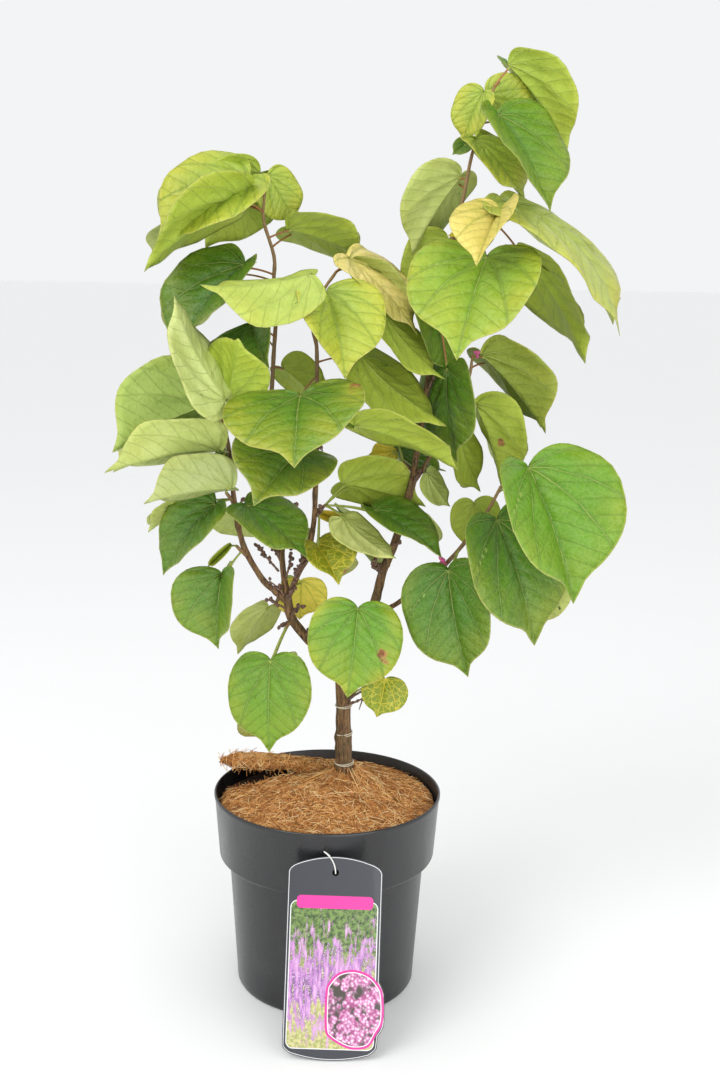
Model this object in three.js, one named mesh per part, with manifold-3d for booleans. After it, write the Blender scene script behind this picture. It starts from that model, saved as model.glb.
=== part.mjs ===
// Avondale Chinese redbud in a grower's pot: a short many-stemmed shrub with heart-shaped leaves,
// a coir disc over the compost and a picture tag leaning on the pot.
// Millimetres, Z up, floor at Z 0, origin on the pot's axis. The tag is at the front, -Y.
import * as THREE from "three";
import Module from "manifold-3d";

const manifoldModule = await Module();
manifoldModule.setup();
const { Manifold, Mesh: SolidMesh } = manifoldModule;

// Sizes
const clear = 0.3;             // air between one piece and the next
const roundSteps = 36;
const potHeight = 203;
const potRim = 115.3;          // outer radius at the top
const potFoot = 91.3;          // outer radius at the floor
const potWall = 2.4;
const collarFoot = 110;        // outer radius where the collar ends
const collarHeight = 63;
const stepHeight = 10;         // from the collar's end down to the body
const bodyTop = 99.5;
const potFloor = 3;
const soilCrown = 206.7;       // top of the compost round the trunk
const soilEdge = 186.5;
const crownFlat = 32;          // how far from the pot's axis the compost is flat
const trunkX = 17;
const coirRadius = 109;
const coirThickness = 9;
const coirHole = 13.2;
const slitStart = 174;         // degrees round from +X, front side of the slit
const slitEnd = 164;           // back side of the slit, the lifted one
const flapSweep = 62;          // degrees over which the flap lifts
const flapLift = 27;
const flapReach = 9;
const tagWidth = 89;
const tagHeight = 190;
const tagThickness = 1.2;
const tagArch = 13;
const tagHoleHeight = 173;
const tagHole = 3.2;
const tagFootY = -166;         // where the tag's foot stands
const tagTopY = -115.4;
const tagX = 8.3;
const tagTilt = 0.0185;        // radians, top towards +X
const stringRadius = 0.7;
const leafThickness = 0.012;   // of the blade's length
const meshTolerance = 0.06;
const leafDroop = 0.05;        // how far a blade bows, of its length
const petioleStart = 1.4;      // radius where it leaves the twig
const petioleEnd = 1.1; 
const backLeafSize = 0.85;     // of the front leaf it backs
const smallestBack = 50;       // shorter front leaves have no leaf behind them
const backDistance = 34;       // how far behind the twig a back leaf begins
const viewer = new THREE.Vector3(29, -1300, 724);   // where the plant was looked at from

// Limbs and leaves. A place is [across, up, depth]: where it is seen on the upright plane through
// the pot's axis, and how far in front of that plane (negative) or behind it the wood or leaf is.
// A limb's points carry the radius as a fourth value.
// A leaf is [base across, up, depth, tip across, up, depth, seen half width on its left hand, on its
// right hand, look(, bow)]. Looks u, p and o show the underside; g, m, l, v, y and a the upper side.
const limbs = {
  trunk: [[17, 207, 0, 12], [17, 218, 0, 9.6], [16.5, 240, 0, 8.4], [15.5, 280, 0, 7.6], [15, 322, 0, 8]],
  bough_left: [[15, 308, 0, 5.4], [10, 328, -1, 5.6], [-2, 343, -2, 5.2],
    [-23, 363, -3, 4.9], [-38, 383, -3, 4.6], [-43, 408, -3, 4.2]],
  bough_left_outer: [[-41, 398, -3, 3.2], [-55, 410, -5, 3.1], [-68, 423, -8, 3], [-84, 451, -12, 2.8],
    [-92, 480, -16, 2.6], [-97, 518, -20, 2.3], [-100, 550, -23, 2.1]],
  bough_left_leader: [[-43, 404, -3, 3.1], [-48, 445, 2, 2.9], [-49, 500, 8, 2.6],
    [-54, 560, 15, 2.4], [-59, 605, 18, 2.1]],
  bough_centre: [[-42, 402, -3, 2.9], [-31, 429, -5, 2.8], [-23, 444, -6, 2.8], [-19, 464, -8, 2.7],
    [-16, 490, -10, 2.5], [-14.5, 550, -18, 2.2], [-15, 600, -22, 2]],
  bough_right: [[17, 308, 0, 5], [24, 335, 0, 5], [32, 357, 1, 4.8], [45, 402, 3, 4.5],
    [52, 432, 4, 4.3], [58, 447, 5, 4.2], [66, 470, 6, 3.9], [82, 534, 10, 3.5]],
  bough_right_leader: [[80, 528, 10, 3], [88, 590, 10, 2.7], [94, 640, 9, 2.4]],
  bough_right_side: [[80, 520, 9, 2.2], [92, 540, 12, 2.1], [110, 578, 18, 1.8]],
  bough_right_low: [[43, 388, 3, 2.5], [65, 398, -3, 2.4], [90, 419, -8, 2.3], [112, 437, -13, 2.1]],
};

const masses = {
  leaves_left_top: {
    wood: [
      [[-59, 605, 18, 2.1], [-57, 640, 19, 2], [-55, 680, 20, 1.9], [-57, 712, 20, 1.8],
        [-57, 736, 20, 1.7], [-67, 769, 20, 1.5], [-66, 795, 20, 1.3], [-69, 809, 20, 1.2]],
    ],
    leaves: [
      [-70, 812, 30, -122, 742, 48, 38, 40, "u"],
      [-80, 807, 12, -168, 743, -18, 20, 46, "l"],
      [-84, 788, -5, -180, 719, -42, 9, 32, "u"],
      [-63, 809, 26, -37, 766, 38, 23, 22, "l"],
      [-43, 761, 26, 32, 732, 44, 27, 13, "o"],
      [-85, 727, 0, -156, 637, -25, 8, 46, "g"],
      [-77, 672, -5, -61, 630, -70, 23, 46, "g"],
      [-49, 631, 30, -10, 596, 42, 27, 14, "o"],
    ],
  },
  leaves_left_outer: {
    wood: [
      [[-100, 550, -23, 2.1], [-104, 570, -24, 1.9], [-110, 586, -25, 1.6]],
    ],
    leaves: [
      [-104, 599, -86, -152, 697, -108, 26, 13, "p"],
      [-103, 599, -54, -91, 658, -98, 25, 35, "u"],
      [-120, 594, -15, -214, 546, -50, 22, 62, "u"],
      [-110, 550, -48, -222, 525, -72, 3, 36, "p"],
      [-104, 546, 5, -112, 508, 12, 14, 14, "g"],
    ],
  },
  leaves_left_low: {
    wood: [
      [[-95, 497, -18, 2.4], [-99, 503, -19, 1.8], [-103, 508, -20, 1.6]],
    ],
    leaves: [
      [-98, 513, -54, -184, 495, -74, 4, 38, "p"],
      [-113, 497, -12, -166, 424, -25, 12, 34, "g"],
      [-140, 495, 12, -180, 467, 16, 3, 14, "p"],
    ],
  },
  leaves_left_hanging: {
    wood: [
      [[-83, 446, -12, 2.4], [-89, 451, -14, 1.8], [-93, 455, -15, 1.6]],
    ],
    leaves: [
      [-107, 426, -30, -111, 349, -50, 13, 48, "m"],
      [-99, 456, -4, -122, 433, 2, 4, 4, "l"],
    ],
  },
  leaf_left_small: {
    wood: [
      [[-50, 404, -4, 2.4], [-53, 399, 2, 1.6], [-55, 396, 6, 1.4]],
    ],
    leaves: [
      [-61, 393, 12, -92, 344, 18, 15, 20, "p"],
    ],
  },
  leaf_left_low: {
    wood: [
      [[-37, 380, -3, 2.4], [-41, 376, -12, 1.6], [-44, 372, -18, 1.5]],
    ],
    leaves: [
      [-59, 338, -40, -60, 241, -60, 40, 41, "m"],
    ],
  },
  leaf_yellow: {
    wood: [
      [[-42, 402, 0, 2.4], [-40, 408, 8, 1.6], [-37, 414, 12, 1.4]],
    ],
    leaves: [
      [-29, 421, 22, -30, 381, 32, 27, 24, "y"],
    ],
  },
  leaves_centre_top: {
    wood: [
      [[-15, 600, -22, 2], [-15, 630, -25, 1.9], [-16, 653, -27, 1.8],
        [-19, 670, -28, 1.7], [-12, 700, -28, 1.5], [2, 722, -22, 1.3]],
    ],
    leaves: [
      [-22, 719, -82, -127, 708, -108, 38, 3, "u"],
      [-7, 704, -52, 12, 621, -92, 48, 26, "l"],
      [14, 734, -4, 80, 664, -16, 27, 12, "y"],
      [46, 686, -22, 108, 622, -28, 14, 18, "u"],
      [24, 646, -22, 111, 577, -42, 18, 29, "o"],
      [-31, 604, -76, -36, 533, -152, 57, 66, "g"],
    ],
  },
  leaves_centre: {
    wood: [
      [[-15, 560, -19, 2.4], [-18, 566, -26, 1.8], [-20, 569, -31, 1.6]],
    ],
    leaves: [
      [-33, 548, -48, -76, 495, -112, 36, 54, "g"],
      [22, 576, -61, 124, 534, -46, 22, 6, "o"],
    ],
  },
  leaf_centre_left: {
    wood: [
      [[-49, 502, 8, 2.6], [-55, 503, 2, 1.8], [-60, 502, -4, 1.6]],
    ],
    leaves: [
      [-84, 496, -28, -23, 444, -58, 30, 20, "g"],
      [-78, 478, 26, -124, 474, 34, 14, 15, "p"],
    ],
  },
  leaves_centre_right: {
    wood: [
      [[-16, 490, -10, 2.4], [-10, 494, -6, 1.8], [-6, 497, -2, 1.6]],
    ],
    leaves: [
      [11, 519, 16, 93, 497, 21, 36, 17, "o"],
      [-14, 458, -10, 9, 417, -43, 34, 16, "v"],
      [12, 485, -10, 65, 445, -38, 12, 19, "p"],
      [42, 493, -18, 110, 446, -44, 27, 6, "g"],
      [-12, 489, 6, 18, 481, 22, 6, 6, "y"],
    ],
  },
  leaf_right_low: {
    wood: [
      [[22, 330, -4, 2.4], [24, 338, -14, 1.6], [25, 345, -20, 1.5]],
    ],
    leaves: [
      [28, 394, -42, 19, 300, -62, 47, 45, "m"],
    ],
  },
  leaf_trunk: {
    wood: [
      [[16, 300, 0, 2.4], [23, 304, -4, 1.5], [27, 307, -8, 1.4]],
    ],
    leaves: [
      [57, 321, -22, 49, 280, -32, 25, 21, "v"],
    ],
  },
  leaves_right_top: {
    wood: [
      [[94, 640, 9, 2.4], [102, 700, 7, 2.2], [109, 745, 5, 2], [120, 790, 3, 1.8],
        [126, 825, 2, 1.6], [132, 848, 1, 1.5], [139, 870, 0, 1.4], [146, 892, 0, 1.2]],
      [[111, 752, 5, 1.6], [135, 762, 2, 1.4], [155, 766, 0, 1.3]],
    ],
    leaves: [
      [158, 912, 0, 216, 834, 20, 37, 5, "u"],
      [140, 884, 12, 186, 872, 24, 24, 20, "l"],
      [150, 867, -22, 203, 781, -52, 42, 9, "m"],
      [136, 887, 8, 118, 842, 16, 14, 22, "l"],
      [130, 845, -10, 178, 790, -30, 22, 10, "l"],
      [122, 841, 2, 109, 831, -4, 7, 9, "g"],
      [118, 812, 12, 74, 738, 25, 17, 38, "p"],
      [140, 775, -14, 107, 757, -24, 18, 14, "y"],
      [156, 781, -50, 135, 729, -90, 10, 38, "a"],
      [165, 788, -10, 275, 667, -35, 19, 15, "l", 0.13],
      [176, 742, 15, 243, 640, 25, 22, 20, "o"],
      [145, 738, -35, 119, 640, -105, 50, 64, "m"],
      [108, 754, 25, 86, 684, 35, 25, 38, "o"],
      [88, 700, 18, 112, 622, 14, 22, 16, "g"],
      [110, 632, 0, 123, 541, -11, 24, 32, "g"],
    ],
  },
  leaves_right_inner: {
    wood: [
      [[81, 530, 12, 2.4], [76, 536, 20, 1.8], [70, 541, 26, 1.5]],
    ],
    leaves: [
      [48, 600, 54, 108, 577, 58, 10, 10, "g"],
      [62, 552, 40, 36, 548, 46, 12, 12, "y"],
      [64, 556, 36, 112, 533, 42, 10, 12, "g"],
      [94, 530, 25, 117, 498, 30, 12, 14, "p"],
    ],
  },
  leaves_right_side: {
    wood: [
      [[110, 578, 18, 1.8], [130, 620, 22, 1.6], [134, 645, 23, 1.3]],
    ],
    leaves: [
      [143, 646, 20, 207, 571, 30, 42, 9, "o"],
      [138, 599, 20, 167, 516, 25, 40, 3, "o"],
      [124, 568, 30, 146, 513, 38, 16, 18, "o"],
    ],
  },
  leaves_right_low: {
    wood: [
      [[112, 437, -13, 2.1], [132, 462, -18, 1.9], [153, 493, -25, 1.7], [166, 519, -30, 1.4]],
    ],
    leaves: [
      [192, 538, -52, 243, 402, -88, 74, 31, "m"],
      [163, 486, -38, 206, 358, -58, 56, 38, "m"],
      [117, 434, -30, 140, 324, -46, 34, 50, "g"],
      [140, 503, 8, 148, 452, 18, 26, 26, "o"],
    ],
  },
};

const undersides = "upo";

// Small helpers

function seededRandom(seed) {
  let state = seed;
  return () => {
    state = (state * 1664525 + 1013904223) % 4294967296;
    return state / 4294967296;
  };
}

function ease(t) {
  const k = Math.min(1, Math.max(0, t));
  return k * k * (3 - 2 * k);
}

function bezier(a, b, c, d, t) {
  const r = 1 - t;
  return a * r ** 3 + 3 * b * r * r * t + 3 * c * r * t * t + d * t ** 3;
}

function seen([x, z, y]) {
  const onPlane = new THREE.Vector3(x, 0, z);
  return onPlane.sub(viewer).multiplyScalar((y - viewer.y) / -viewer.y).add(viewer);
}

function solid({ points, faces }) {
  const vertProperties = new Float32Array(points.flatMap((p) => [p.x, p.y, p.z]));
  return new Manifold(new SolidMesh({ numProp: 3, vertProperties, triVerts: new Uint32Array(faces.flat()) }));
}

function largest(body) {
  return body.decompose().sort((a, b) => b.volume() - a.volume())[0];
}

function boxesTouch(a, b, margin) {
  const p = a.boundingBox();
  const q = b.boundingBox();
  return [0, 1, 2].every((i) => p.min[i] - margin < q.max[i] && q.min[i] - margin < p.max[i]);
}

function tooClose(a, b, gap) {
  return boxesTouch(a, b, gap) && a.minGap(b, gap * 2) < gap;
}

function toMesh(name, body, color) {
  const { numProp, vertProperties, triVerts } = body.asOriginal().simplify(meshTolerance).getMesh();
  const positions = new Float32Array((vertProperties.length / numProp) * 3);
  for (let i = 0; i < positions.length / 3; i += 1) {
    for (let k = 0; k < 3; k += 1) positions[3 * i + k] = vertProperties[numProp * i + k];
  }
  const geometry = new THREE.BufferGeometry();
  geometry.setAttribute("position", new THREE.BufferAttribute(positions, 3));
  geometry.setIndex(new THREE.BufferAttribute(new Uint32Array(triVerts), 1));
  geometry.computeVertexNormals();
  const mesh = new THREE.Mesh(geometry, new THREE.MeshStandardMaterial({ color }));
  mesh.name = name;
  return mesh;
}

// Solids of revolution about Z, from a profile that starts and ends on the axis

function revolve(profile, steps) {
  const points = [];
  const rings = profile.map(([r, z]) => {
    if (r === 0) {
      points.push(new THREE.Vector3(0, 0, z));
      return [points.length - 1];
    }
    return Array.from({ length: steps }, (_, j) => {
      const angle = (2 * Math.PI * j) / steps;
      points.push(new THREE.Vector3(r * Math.cos(angle), r * Math.sin(angle), z));
      return points.length - 1;
    });
  });
  const faces = [];
  for (let i = 0; i + 1 < rings.length; i += 1) {
    const [low, high] = [rings[i], rings[i + 1]];
    for (let j = 0; j < steps; j += 1) {
      const k = (j + 1) % steps;
      if (low.length === 1) faces.push([low[0], high[k], high[j]]);
      else if (high.length === 1) faces.push([low[j], low[k], high[0]]);
      else faces.push([low[j], low[k], high[k]], [low[j], high[k], high[j]]);
    }
  }
  return solid({ points, faces });
}

function collarRadius(z) {
  return potRim - ((potRim - collarFoot) * (potHeight - z)) / collarHeight;
}

function buildPot() {
  const collarBase = potHeight - collarHeight;
  const stepBase = collarBase - stepHeight;
  return revolve([
    [0, 0], [potFoot - 2, 0], [potFoot, 3], [bodyTop, stepBase], [bodyTop + 3, stepBase + 3],
    [collarFoot - 2, collarBase - 3], [collarFoot, collarBase], [potRim, potHeight - 3], [potRim, potHeight],
    [potRim - potWall, potHeight], [collarFoot - potWall, collarBase + 1],
    [bodyTop - potWall, stepBase + 1], [potFoot - potWall, potFloor + 2],
    [potFoot - potWall - 2, potFloor], [0, potFloor],
  ], roundSteps);
}

function soilHeight(r) {
  return soilCrown - (soilCrown - soilEdge) * ease((r - crownFlat) / (coirRadius - crownFlat)) ** 0.8;
}

function buildSoil() {
  const collarBase = potHeight - collarHeight;
  const stepBase = collarBase - stepHeight;
  const gap = potWall + clear + 0.3;
  const top = [110, 92, 76, 60, 46].map((r) => [r, soilHeight(r)]);
  top[0][0] = collarRadius(top[0][1]) - gap;
  return revolve([
    [0, potFloor + clear], [potFoot - gap - 2, potFloor + clear], [potFoot - gap, potFloor + 2.5],
    [bodyTop - gap, stepBase + 1.5], [collarFoot - gap, collarBase + 1.5],
    ...top, [crownFlat, soilCrown], [0, soilCrown],
  ], roundSteps);
}

// The coir disc: a ring round the trunk with a slit, one edge of which has sprung up as a flap

function buildCoir() {
  const turns = 36;
  const rows = 5;
  const random = seededRandom(11);
  const span = 360 - (slitStart - slitEnd);
  const upper = [];
  const lower = [];
  const points = [];
  for (let i = 0; i <= turns; i += 1) {
    const degrees = slitStart + (span * i) / turns;
    const angle = THREE.MathUtils.degToRad(degrees);
    const lift = ease(1 - (slitStart + span - degrees) / flapSweep);
    const [dx, dy] = [Math.cos(angle), Math.sin(angle)];
    const rim = coirRadius + flapReach * lift ** 3 + (random() - 0.5) * 1.6;
    // distance from the trunk to the disc's edge, along this direction
    const reach = -trunkX * dx + Math.sqrt(rim * rim - (trunkX * dy) ** 2);
    for (let j = 0; j <= rows; j += 1) {
      const part = j / rows;
      const distance = coirHole + (reach - coirHole) * part;
      const [x, y] = [trunkX + dx * distance, dy * distance];
      const base = soilHeight(Math.hypot(x, y)) + 1.8 + flapLift * lift * part ** 0.9;
      const bump = (random() - 0.5) * 2.4 * Math.sin(Math.PI * part);
      const thickness = 6.5 + (coirThickness - 6.5) * ease(part * 2) - 2 * ease((part - 0.85) / 0.15);
      lower.push(points.push(new THREE.Vector3(x, y, base)) - 1);
      upper.push(points.push(new THREE.Vector3(x, y, base + thickness + bump)) - 1);
    }
  }
  const at = (side, i, j) => side[i * (rows + 1) + j];
  const faces = [];
  const quad = (a, b, c, d) => faces.push([a, b, c], [a, c, d]);
  for (let i = 0; i < turns; i += 1) {
    for (let j = 0; j < rows; j += 1) {
      quad(at(upper, i, j), at(upper, i, j + 1), at(upper, i + 1, j + 1), at(upper, i + 1, j));
      quad(at(lower, i, j), at(lower, i + 1, j), at(lower, i + 1, j + 1), at(lower, i, j + 1));
    }
    quad(at(lower, i, rows), at(lower, i + 1, rows), at(upper, i + 1, rows), at(upper, i, rows));
    quad(at(lower, i, 0), at(upper, i, 0), at(upper, i + 1, 0), at(lower, i + 1, 0));
  }
  for (let j = 0; j < rows; j += 1) {
    quad(at(lower, 0, j), at(lower, 0, j + 1), at(upper, 0, j + 1), at(upper, 0, j));
    quad(at(lower, turns, j), at(upper, turns, j), at(upper, turns, j + 1), at(lower, turns, j + 1));
  }
  return solid({ points, faces });
}

// The tag: an arched plate on its foot, leaning on the pot, with a bulge at the inset picture

function tagPlacement() {
  const lean = Math.asin((tagTopY - tagFootY) / tagHeight);
  const place = new THREE.Matrix4().makeTranslation(tagX, tagFootY, 0.5);
  place.multiply(new THREE.Matrix4().makeRotationY(tagTilt));
  place.multiply(new THREE.Matrix4().makeRotationX(Math.PI / 2 - lean));
  return place;
}

function toSolid(geometry) {
  const position = geometry.getAttribute("position");
  const seenPoints = new Map();
  const points = [];
  const indices = [];
  for (let i = 0; i < position.count; i += 1) {
    const p = new THREE.Vector3().fromBufferAttribute(position, i);
    const key = [p.x, p.y, p.z].map((c) => c.toFixed(4)).join();
    if (!seenPoints.has(key)) seenPoints.set(key, points.push(p) - 1);
    indices.push(seenPoints.get(key));
  }
  const order = geometry.index ? Array.from(geometry.index.array, (i) => indices[i]) : indices;
  const faces = [];
  for (let i = 0; i < order.length; i += 3) {
    const [a, b, c] = order.slice(i, i + 3);
    if (a !== b && b !== c && c !== a) faces.push([a, b, c]);
  }
  return solid({ points, faces });
}

function buildTag() {
  const half = tagWidth / 2;
  const outline = new THREE.Shape();
  outline.moveTo(-half, tagArch);
  outline.quadraticCurveTo(-half + 2, tagArch - 5, -half + 8, tagArch - 7.5);
  outline.quadraticCurveTo(0, -tagArch + 8, half - 8, tagArch - 7.5);
  outline.quadraticCurveTo(half - 1, tagArch - 3, half - 0.5, tagArch);
  outline.lineTo(half + 0.5, 24);
  outline.quadraticCurveTo(half + 6, 30, half + 6, 38);
  outline.lineTo(half + 5, 62);
  outline.quadraticCurveTo(half + 3.5, 68, half, 73);
  outline.lineTo(half, tagHeight - tagArch - 4);
  outline.quadraticCurveTo(half - 1, tagHeight - tagArch + 1, half - 8, tagHeight - tagArch + 4);
  outline.quadraticCurveTo(0, tagHeight + tagArch - 8, -half + 8, tagHeight - tagArch + 4);
  outline.quadraticCurveTo(-half + 1, tagHeight - tagArch + 1, -half, tagHeight - tagArch - 4);
  outline.closePath();
  const hole = new THREE.Path();
  hole.absarc(0, tagHoleHeight, tagHole, 0, 2 * Math.PI, true);
  outline.holes.push(hole);
  const plate = new THREE.ExtrudeGeometry(outline, { depth: tagThickness, bevelEnabled: false, curveSegments: 7 });
  plate.applyMatrix4(tagPlacement());
  return toSolid(plate);
}

// A closed loop of string through the tag's hole and over its upper edge

function buildLoop() {
  const length = 11.6;
  const depth = 2.4;
  const steps = 22;
  const direction = new THREE.Vector3(-0.5, 0.866, 0);
  const centre = new THREE.Vector3(0, tagHoleHeight, tagThickness / 2).addScaledVector(direction, length - 0.8);
  const place = tagPlacement();
  const path = Array.from({ length: steps }, (_, i) => {
    const angle = (2 * Math.PI * i) / steps;
    const p = centre.clone().addScaledVector(direction, -length * Math.cos(angle));
    p.z += depth * Math.sin(angle);
    return p.applyMatrix4(place);
  });
  const loop = new THREE.CatmullRomCurve3(path, true);
  return toSolid(new THREE.TubeGeometry(loop, steps, stringRadius, 5, true));
}

// Limbs

function smooth(points, steps) {
  const p = points.map(([x, z, y, radius]) => ({ at: seen([x, z, y]), radius }));
  const last = p.length - 1;
  const mirror = (a, b) => ({ at: a.at.clone().multiplyScalar(2).sub(b.at), radius: 2 * a.radius - b.radius });
  const all = [mirror(p[0], p[1]), ...p, mirror(p[last], p[last - 1])];
  const blend = (a, b, c, d, t) =>
    0.5 * (2 * b + (c - a) * t + (2 * a - 5 * b + 4 * c - d) * t * t + (3 * b - a - 3 * c + d) * t ** 3);
  const path = [];
  for (let i = 1; i <= last; i += 1) {
    const [a, b, c, d] = all.slice(i - 1, i + 3);
    for (let k = 0; k < steps; k += 1) {
      const t = k / steps;
      const at = new THREE.Vector3(...["x", "y", "z"].map((n) => blend(a.at[n], b.at[n], c.at[n], d.at[n], t)));
      path.push({ at, radius: blend(a.radius, b.radius, c.radius, d.radius, t) });
    }
  }
  path.push(p[last]);
  return path;
}

function tube(path, sides) {
  const points = [];
  const faces = [];
  let across = new THREE.Vector3(0.9, 0.1, 0.2);
  path.forEach(({ at, radius }, i) => {
    const ahead = path[Math.min(i + 1, path.length - 1)].at.clone().sub(path[Math.max(i - 1, 0)].at).normalize();
    across = across.clone().addScaledVector(ahead, -across.dot(ahead)).normalize();
    const side = new THREE.Vector3().crossVectors(ahead, across);
    for (let j = 0; j < sides; j += 1) {
      const angle = (2 * Math.PI * j) / sides;
      points.push(at.clone().addScaledVector(across, radius * Math.cos(angle))
        .addScaledVector(side, radius * Math.sin(angle)));
    }
  });
  const end = (path.length - 1) * sides;
  for (let i = 0; i + 1 < path.length; i += 1) {
    for (let j = 0; j < sides; j += 1) {
      const k = (j + 1) % sides;
      const [a, b] = [i * sides, (i + 1) * sides];
      faces.push([a + j, a + k, b + k], [a + j, b + k, b + j]);
    }
  }
  for (let j = 1; j + 1 < sides; j += 1) {
    faces.push([0, j + 1, j], [end, end + j, end + j + 1]);
  }
  return solid({ points, faces });
}

// The same limb a little fatter and longer, to keep the next piece clear of it
function swollen(path, sides) {
  const fat = path.map(({ at, radius }) => ({ at: at.clone(), radius: radius + clear + 0.15 }));
  const last = fat.length - 1;
  const ahead = fat[last].at.clone().sub(fat[last - 1].at).normalize();
  fat[last].at.addScaledVector(ahead, clear + 0.1);
  const back = fat[1].at.clone().sub(fat[0].at).normalize();
  fat[0].at.addScaledVector(back, -clear);
  return tube(fat, sides);
}

// Leaves

// Half outline of a blade of length 1: k 0 at the notch, 1 at the widest, 2 at the tip
function outlineAt(k) {
  if (k <= 1) return [bezier(0, 0.05, 0.5, 0.5, k), bezier(0, -0.15, -0.2, 0.34, k)];
  return [bezier(0.5, 0.5, 0.13, 0, k - 1), bezier(0.34, 0.78, 0.8, 1, k - 1)];
}

function bladeFrame(row) {
  const base = seen(row.slice(0, 3));
  const tip = seen(row.slice(3, 6));
  const [left, right, look, bow] = row.slice(6);
  const length = base.distanceTo(tip);
  const along = tip.clone().sub(base).divideScalar(length);
  const toViewer = viewer.clone().sub(base).normalize();
  const facing = toViewer.clone().addScaledVector(along, -toViewer.dot(along)).normalize();
  const across = new THREE.Vector3().crossVectors(facing, along);
  const half = Math.max(0.47 * length, left, right);
  const up = undersides.includes(look) ? -1 : 1;
  let leftAngle = Math.acos(left / half);
  let rightAngle = Math.acos(right / half);
  if (leftAngle > rightAngle) rightAngle = -rightAngle;
  else if (rightAngle > leftAngle) leftAngle = -leftAngle;
  const direction = (sign, angle) => across.clone().multiplyScalar(sign * Math.cos(angle))
    .addScaledVector(facing, Math.sin(angle));
  const sides = [direction(1, up * leftAngle), direction(-1, up * rightAngle)];
  const upper = new THREE.Vector3().crossVectors(along, sides[0].clone().sub(sides[1])).normalize();
  if (upper.dot(facing) * up < 0) upper.negate();
  return { base, length, along, sides, upper, half, bow: bow ?? leafDroop };
}

function bladePoint(frame, side, u, s) {
  return frame.base.clone().addScaledVector(frame.along, s * frame.length)
    .addScaledVector(frame.sides[side], 2 * u * frame.half)
    .addScaledVector(frame.upper, 4 * frame.bow * frame.length * s * (1 - s));
}

const frontRim = [0.32, 0.66, 1, 1.34, 1.7];
const backRim = [0.45, 1, 1.5];

function blade(row, steps) {
  const frame = bladeFrame(row);
  const rim = steps.map(outlineAt);
  const midrib = steps.length > 3 ? [0, 0.3, 0.65, 1] : [0, 0.4, 1];
  const reach = (leafThickness * frame.length) / 2;
  const points = [];
  const add = (p, normal) => {
    points.push(p.clone().addScaledVector(normal, reach), p.clone().addScaledVector(normal, -reach));
    return points.length - 2;
  };
  const normals = frame.sides.map((side) => {
    const normal = new THREE.Vector3().crossVectors(frame.along, side).normalize();
    return normal.dot(frame.upper) < 0 ? normal.negate() : normal;
  });
  const middle = frame.upper.clone().divideScalar(Math.max(0.4, frame.upper.dot(normals[0])));
  const spine = midrib.map((s) => add(bladePoint(frame, 0, 0, s), middle));
  const faces = [];
  frame.sides.forEach((_, side) => {
    const edge = [spine[0], ...rim.map(([u, s]) => add(bladePoint(frame, side, u, s), normals[side])),
      spine[spine.length - 1]];
    // which way round the half goes, seen from its upper side
    const turn = new THREE.Vector3().crossVectors(frame.along, frame.sides[side]).dot(frame.upper) > 0;
    const face = (a, b, c) => faces.push(turn ? [a, b, c] : [a, c, b]);
    const top = spine.length === 4 ? [
      [spine[0], edge[2], edge[1]], [spine[0], spine[1], edge[2]], [spine[1], edge[3], edge[2]],
      [spine[1], spine[2], edge[3]], [spine[2], edge[4], edge[3]], [spine[2], edge[5], edge[4]],
      [spine[2], spine[3], edge[5]],
    ] : [
      [spine[0], edge[2], edge[1]], [spine[0], spine[1], edge[2]], [spine[1], edge[3], edge[2]],
      [spine[1], spine[2], edge[3]],
    ];
    top.forEach(([a, b, c]) => {
      face(a, b, c);
      face(a + 1, c + 1, b + 1);
    });
    for (let i = 0; i + 1 < edge.length; i += 1) {
      face(edge[i], edge[i + 1], edge[i + 1] + 1);
      face(edge[i], edge[i + 1] + 1, edge[i] + 1);
    }
  });
  return solid({ points, faces });
}

// The leaf's stalk, from the nearest wood, lower wood being preferred, to just inside the blade
function petiole(row, wood) {
  const { base, along } = bladeFrame(row);
  const cost = (p) => p.at.distanceTo(base) + 0.25 * (p.at.z - base.z);
  const foot = wood.reduce((best, p) => (cost(p) < cost(best) ? p : best)).at;
  const end = base.clone().addScaledVector(along, 3);
  const middle = foot.clone().add(end).multiplyScalar(0.5);
  middle.z += 0.08 * foot.distanceTo(end);
  const arc = new THREE.QuadraticBezierCurve3(foot, middle, end);
  const path = [0, 0.5, 1].map((t) => ({
    at: arc.getPoint(t), radius: petioleStart + (petioleEnd - petioleStart) * t,
  }));
  return tube(path, 3);
}

// A leaf on the far side of the twig, behind a front leaf as the plant is looked at
function backLeaf(row, depth, random) {
  const middle = [0, 1, 2].map((i) => (row[i] + row[i + 3]) / 2);
  const shrink = (i) => middle[i % 3] + (row[i] - middle[i % 3]) * backLeafSize;
  const start = depth + backDistance + 14 * random();
  const fall = Math.min(50, Math.abs(row[5] - row[2]) + 8 + 18 * random());
  return [shrink(0), shrink(1), start, shrink(3), shrink(4), start + fall,
    row[6] * backLeafSize, row[7] * backLeafSize, "p", row[9] ?? leafDroop];
}

// Building the plant

const colors = { pot: 0x2d2f32, soil: 0x3a2a1e, coir: 0xb9874f, tag: 0xc9a3bd, string: 0xf2f0ea, bark: 0x7d6446,
  leaf: 0x6f9a35 };
const plant = new THREE.Group();
plant.name = "potted_redbud";
const built = [];

function keep(name, body, color) {
  built.push({ name, body });
  plant.add(toMesh(name, body, color));
}

keep("pot", buildPot(), colors.pot);
keep("soil", buildSoil(), colors.soil);
keep("coir_mat", buildCoir(), colors.coir);
keep("tag", buildTag(), colors.tag);
keep("tag_loop", buildLoop(), colors.string);

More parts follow.
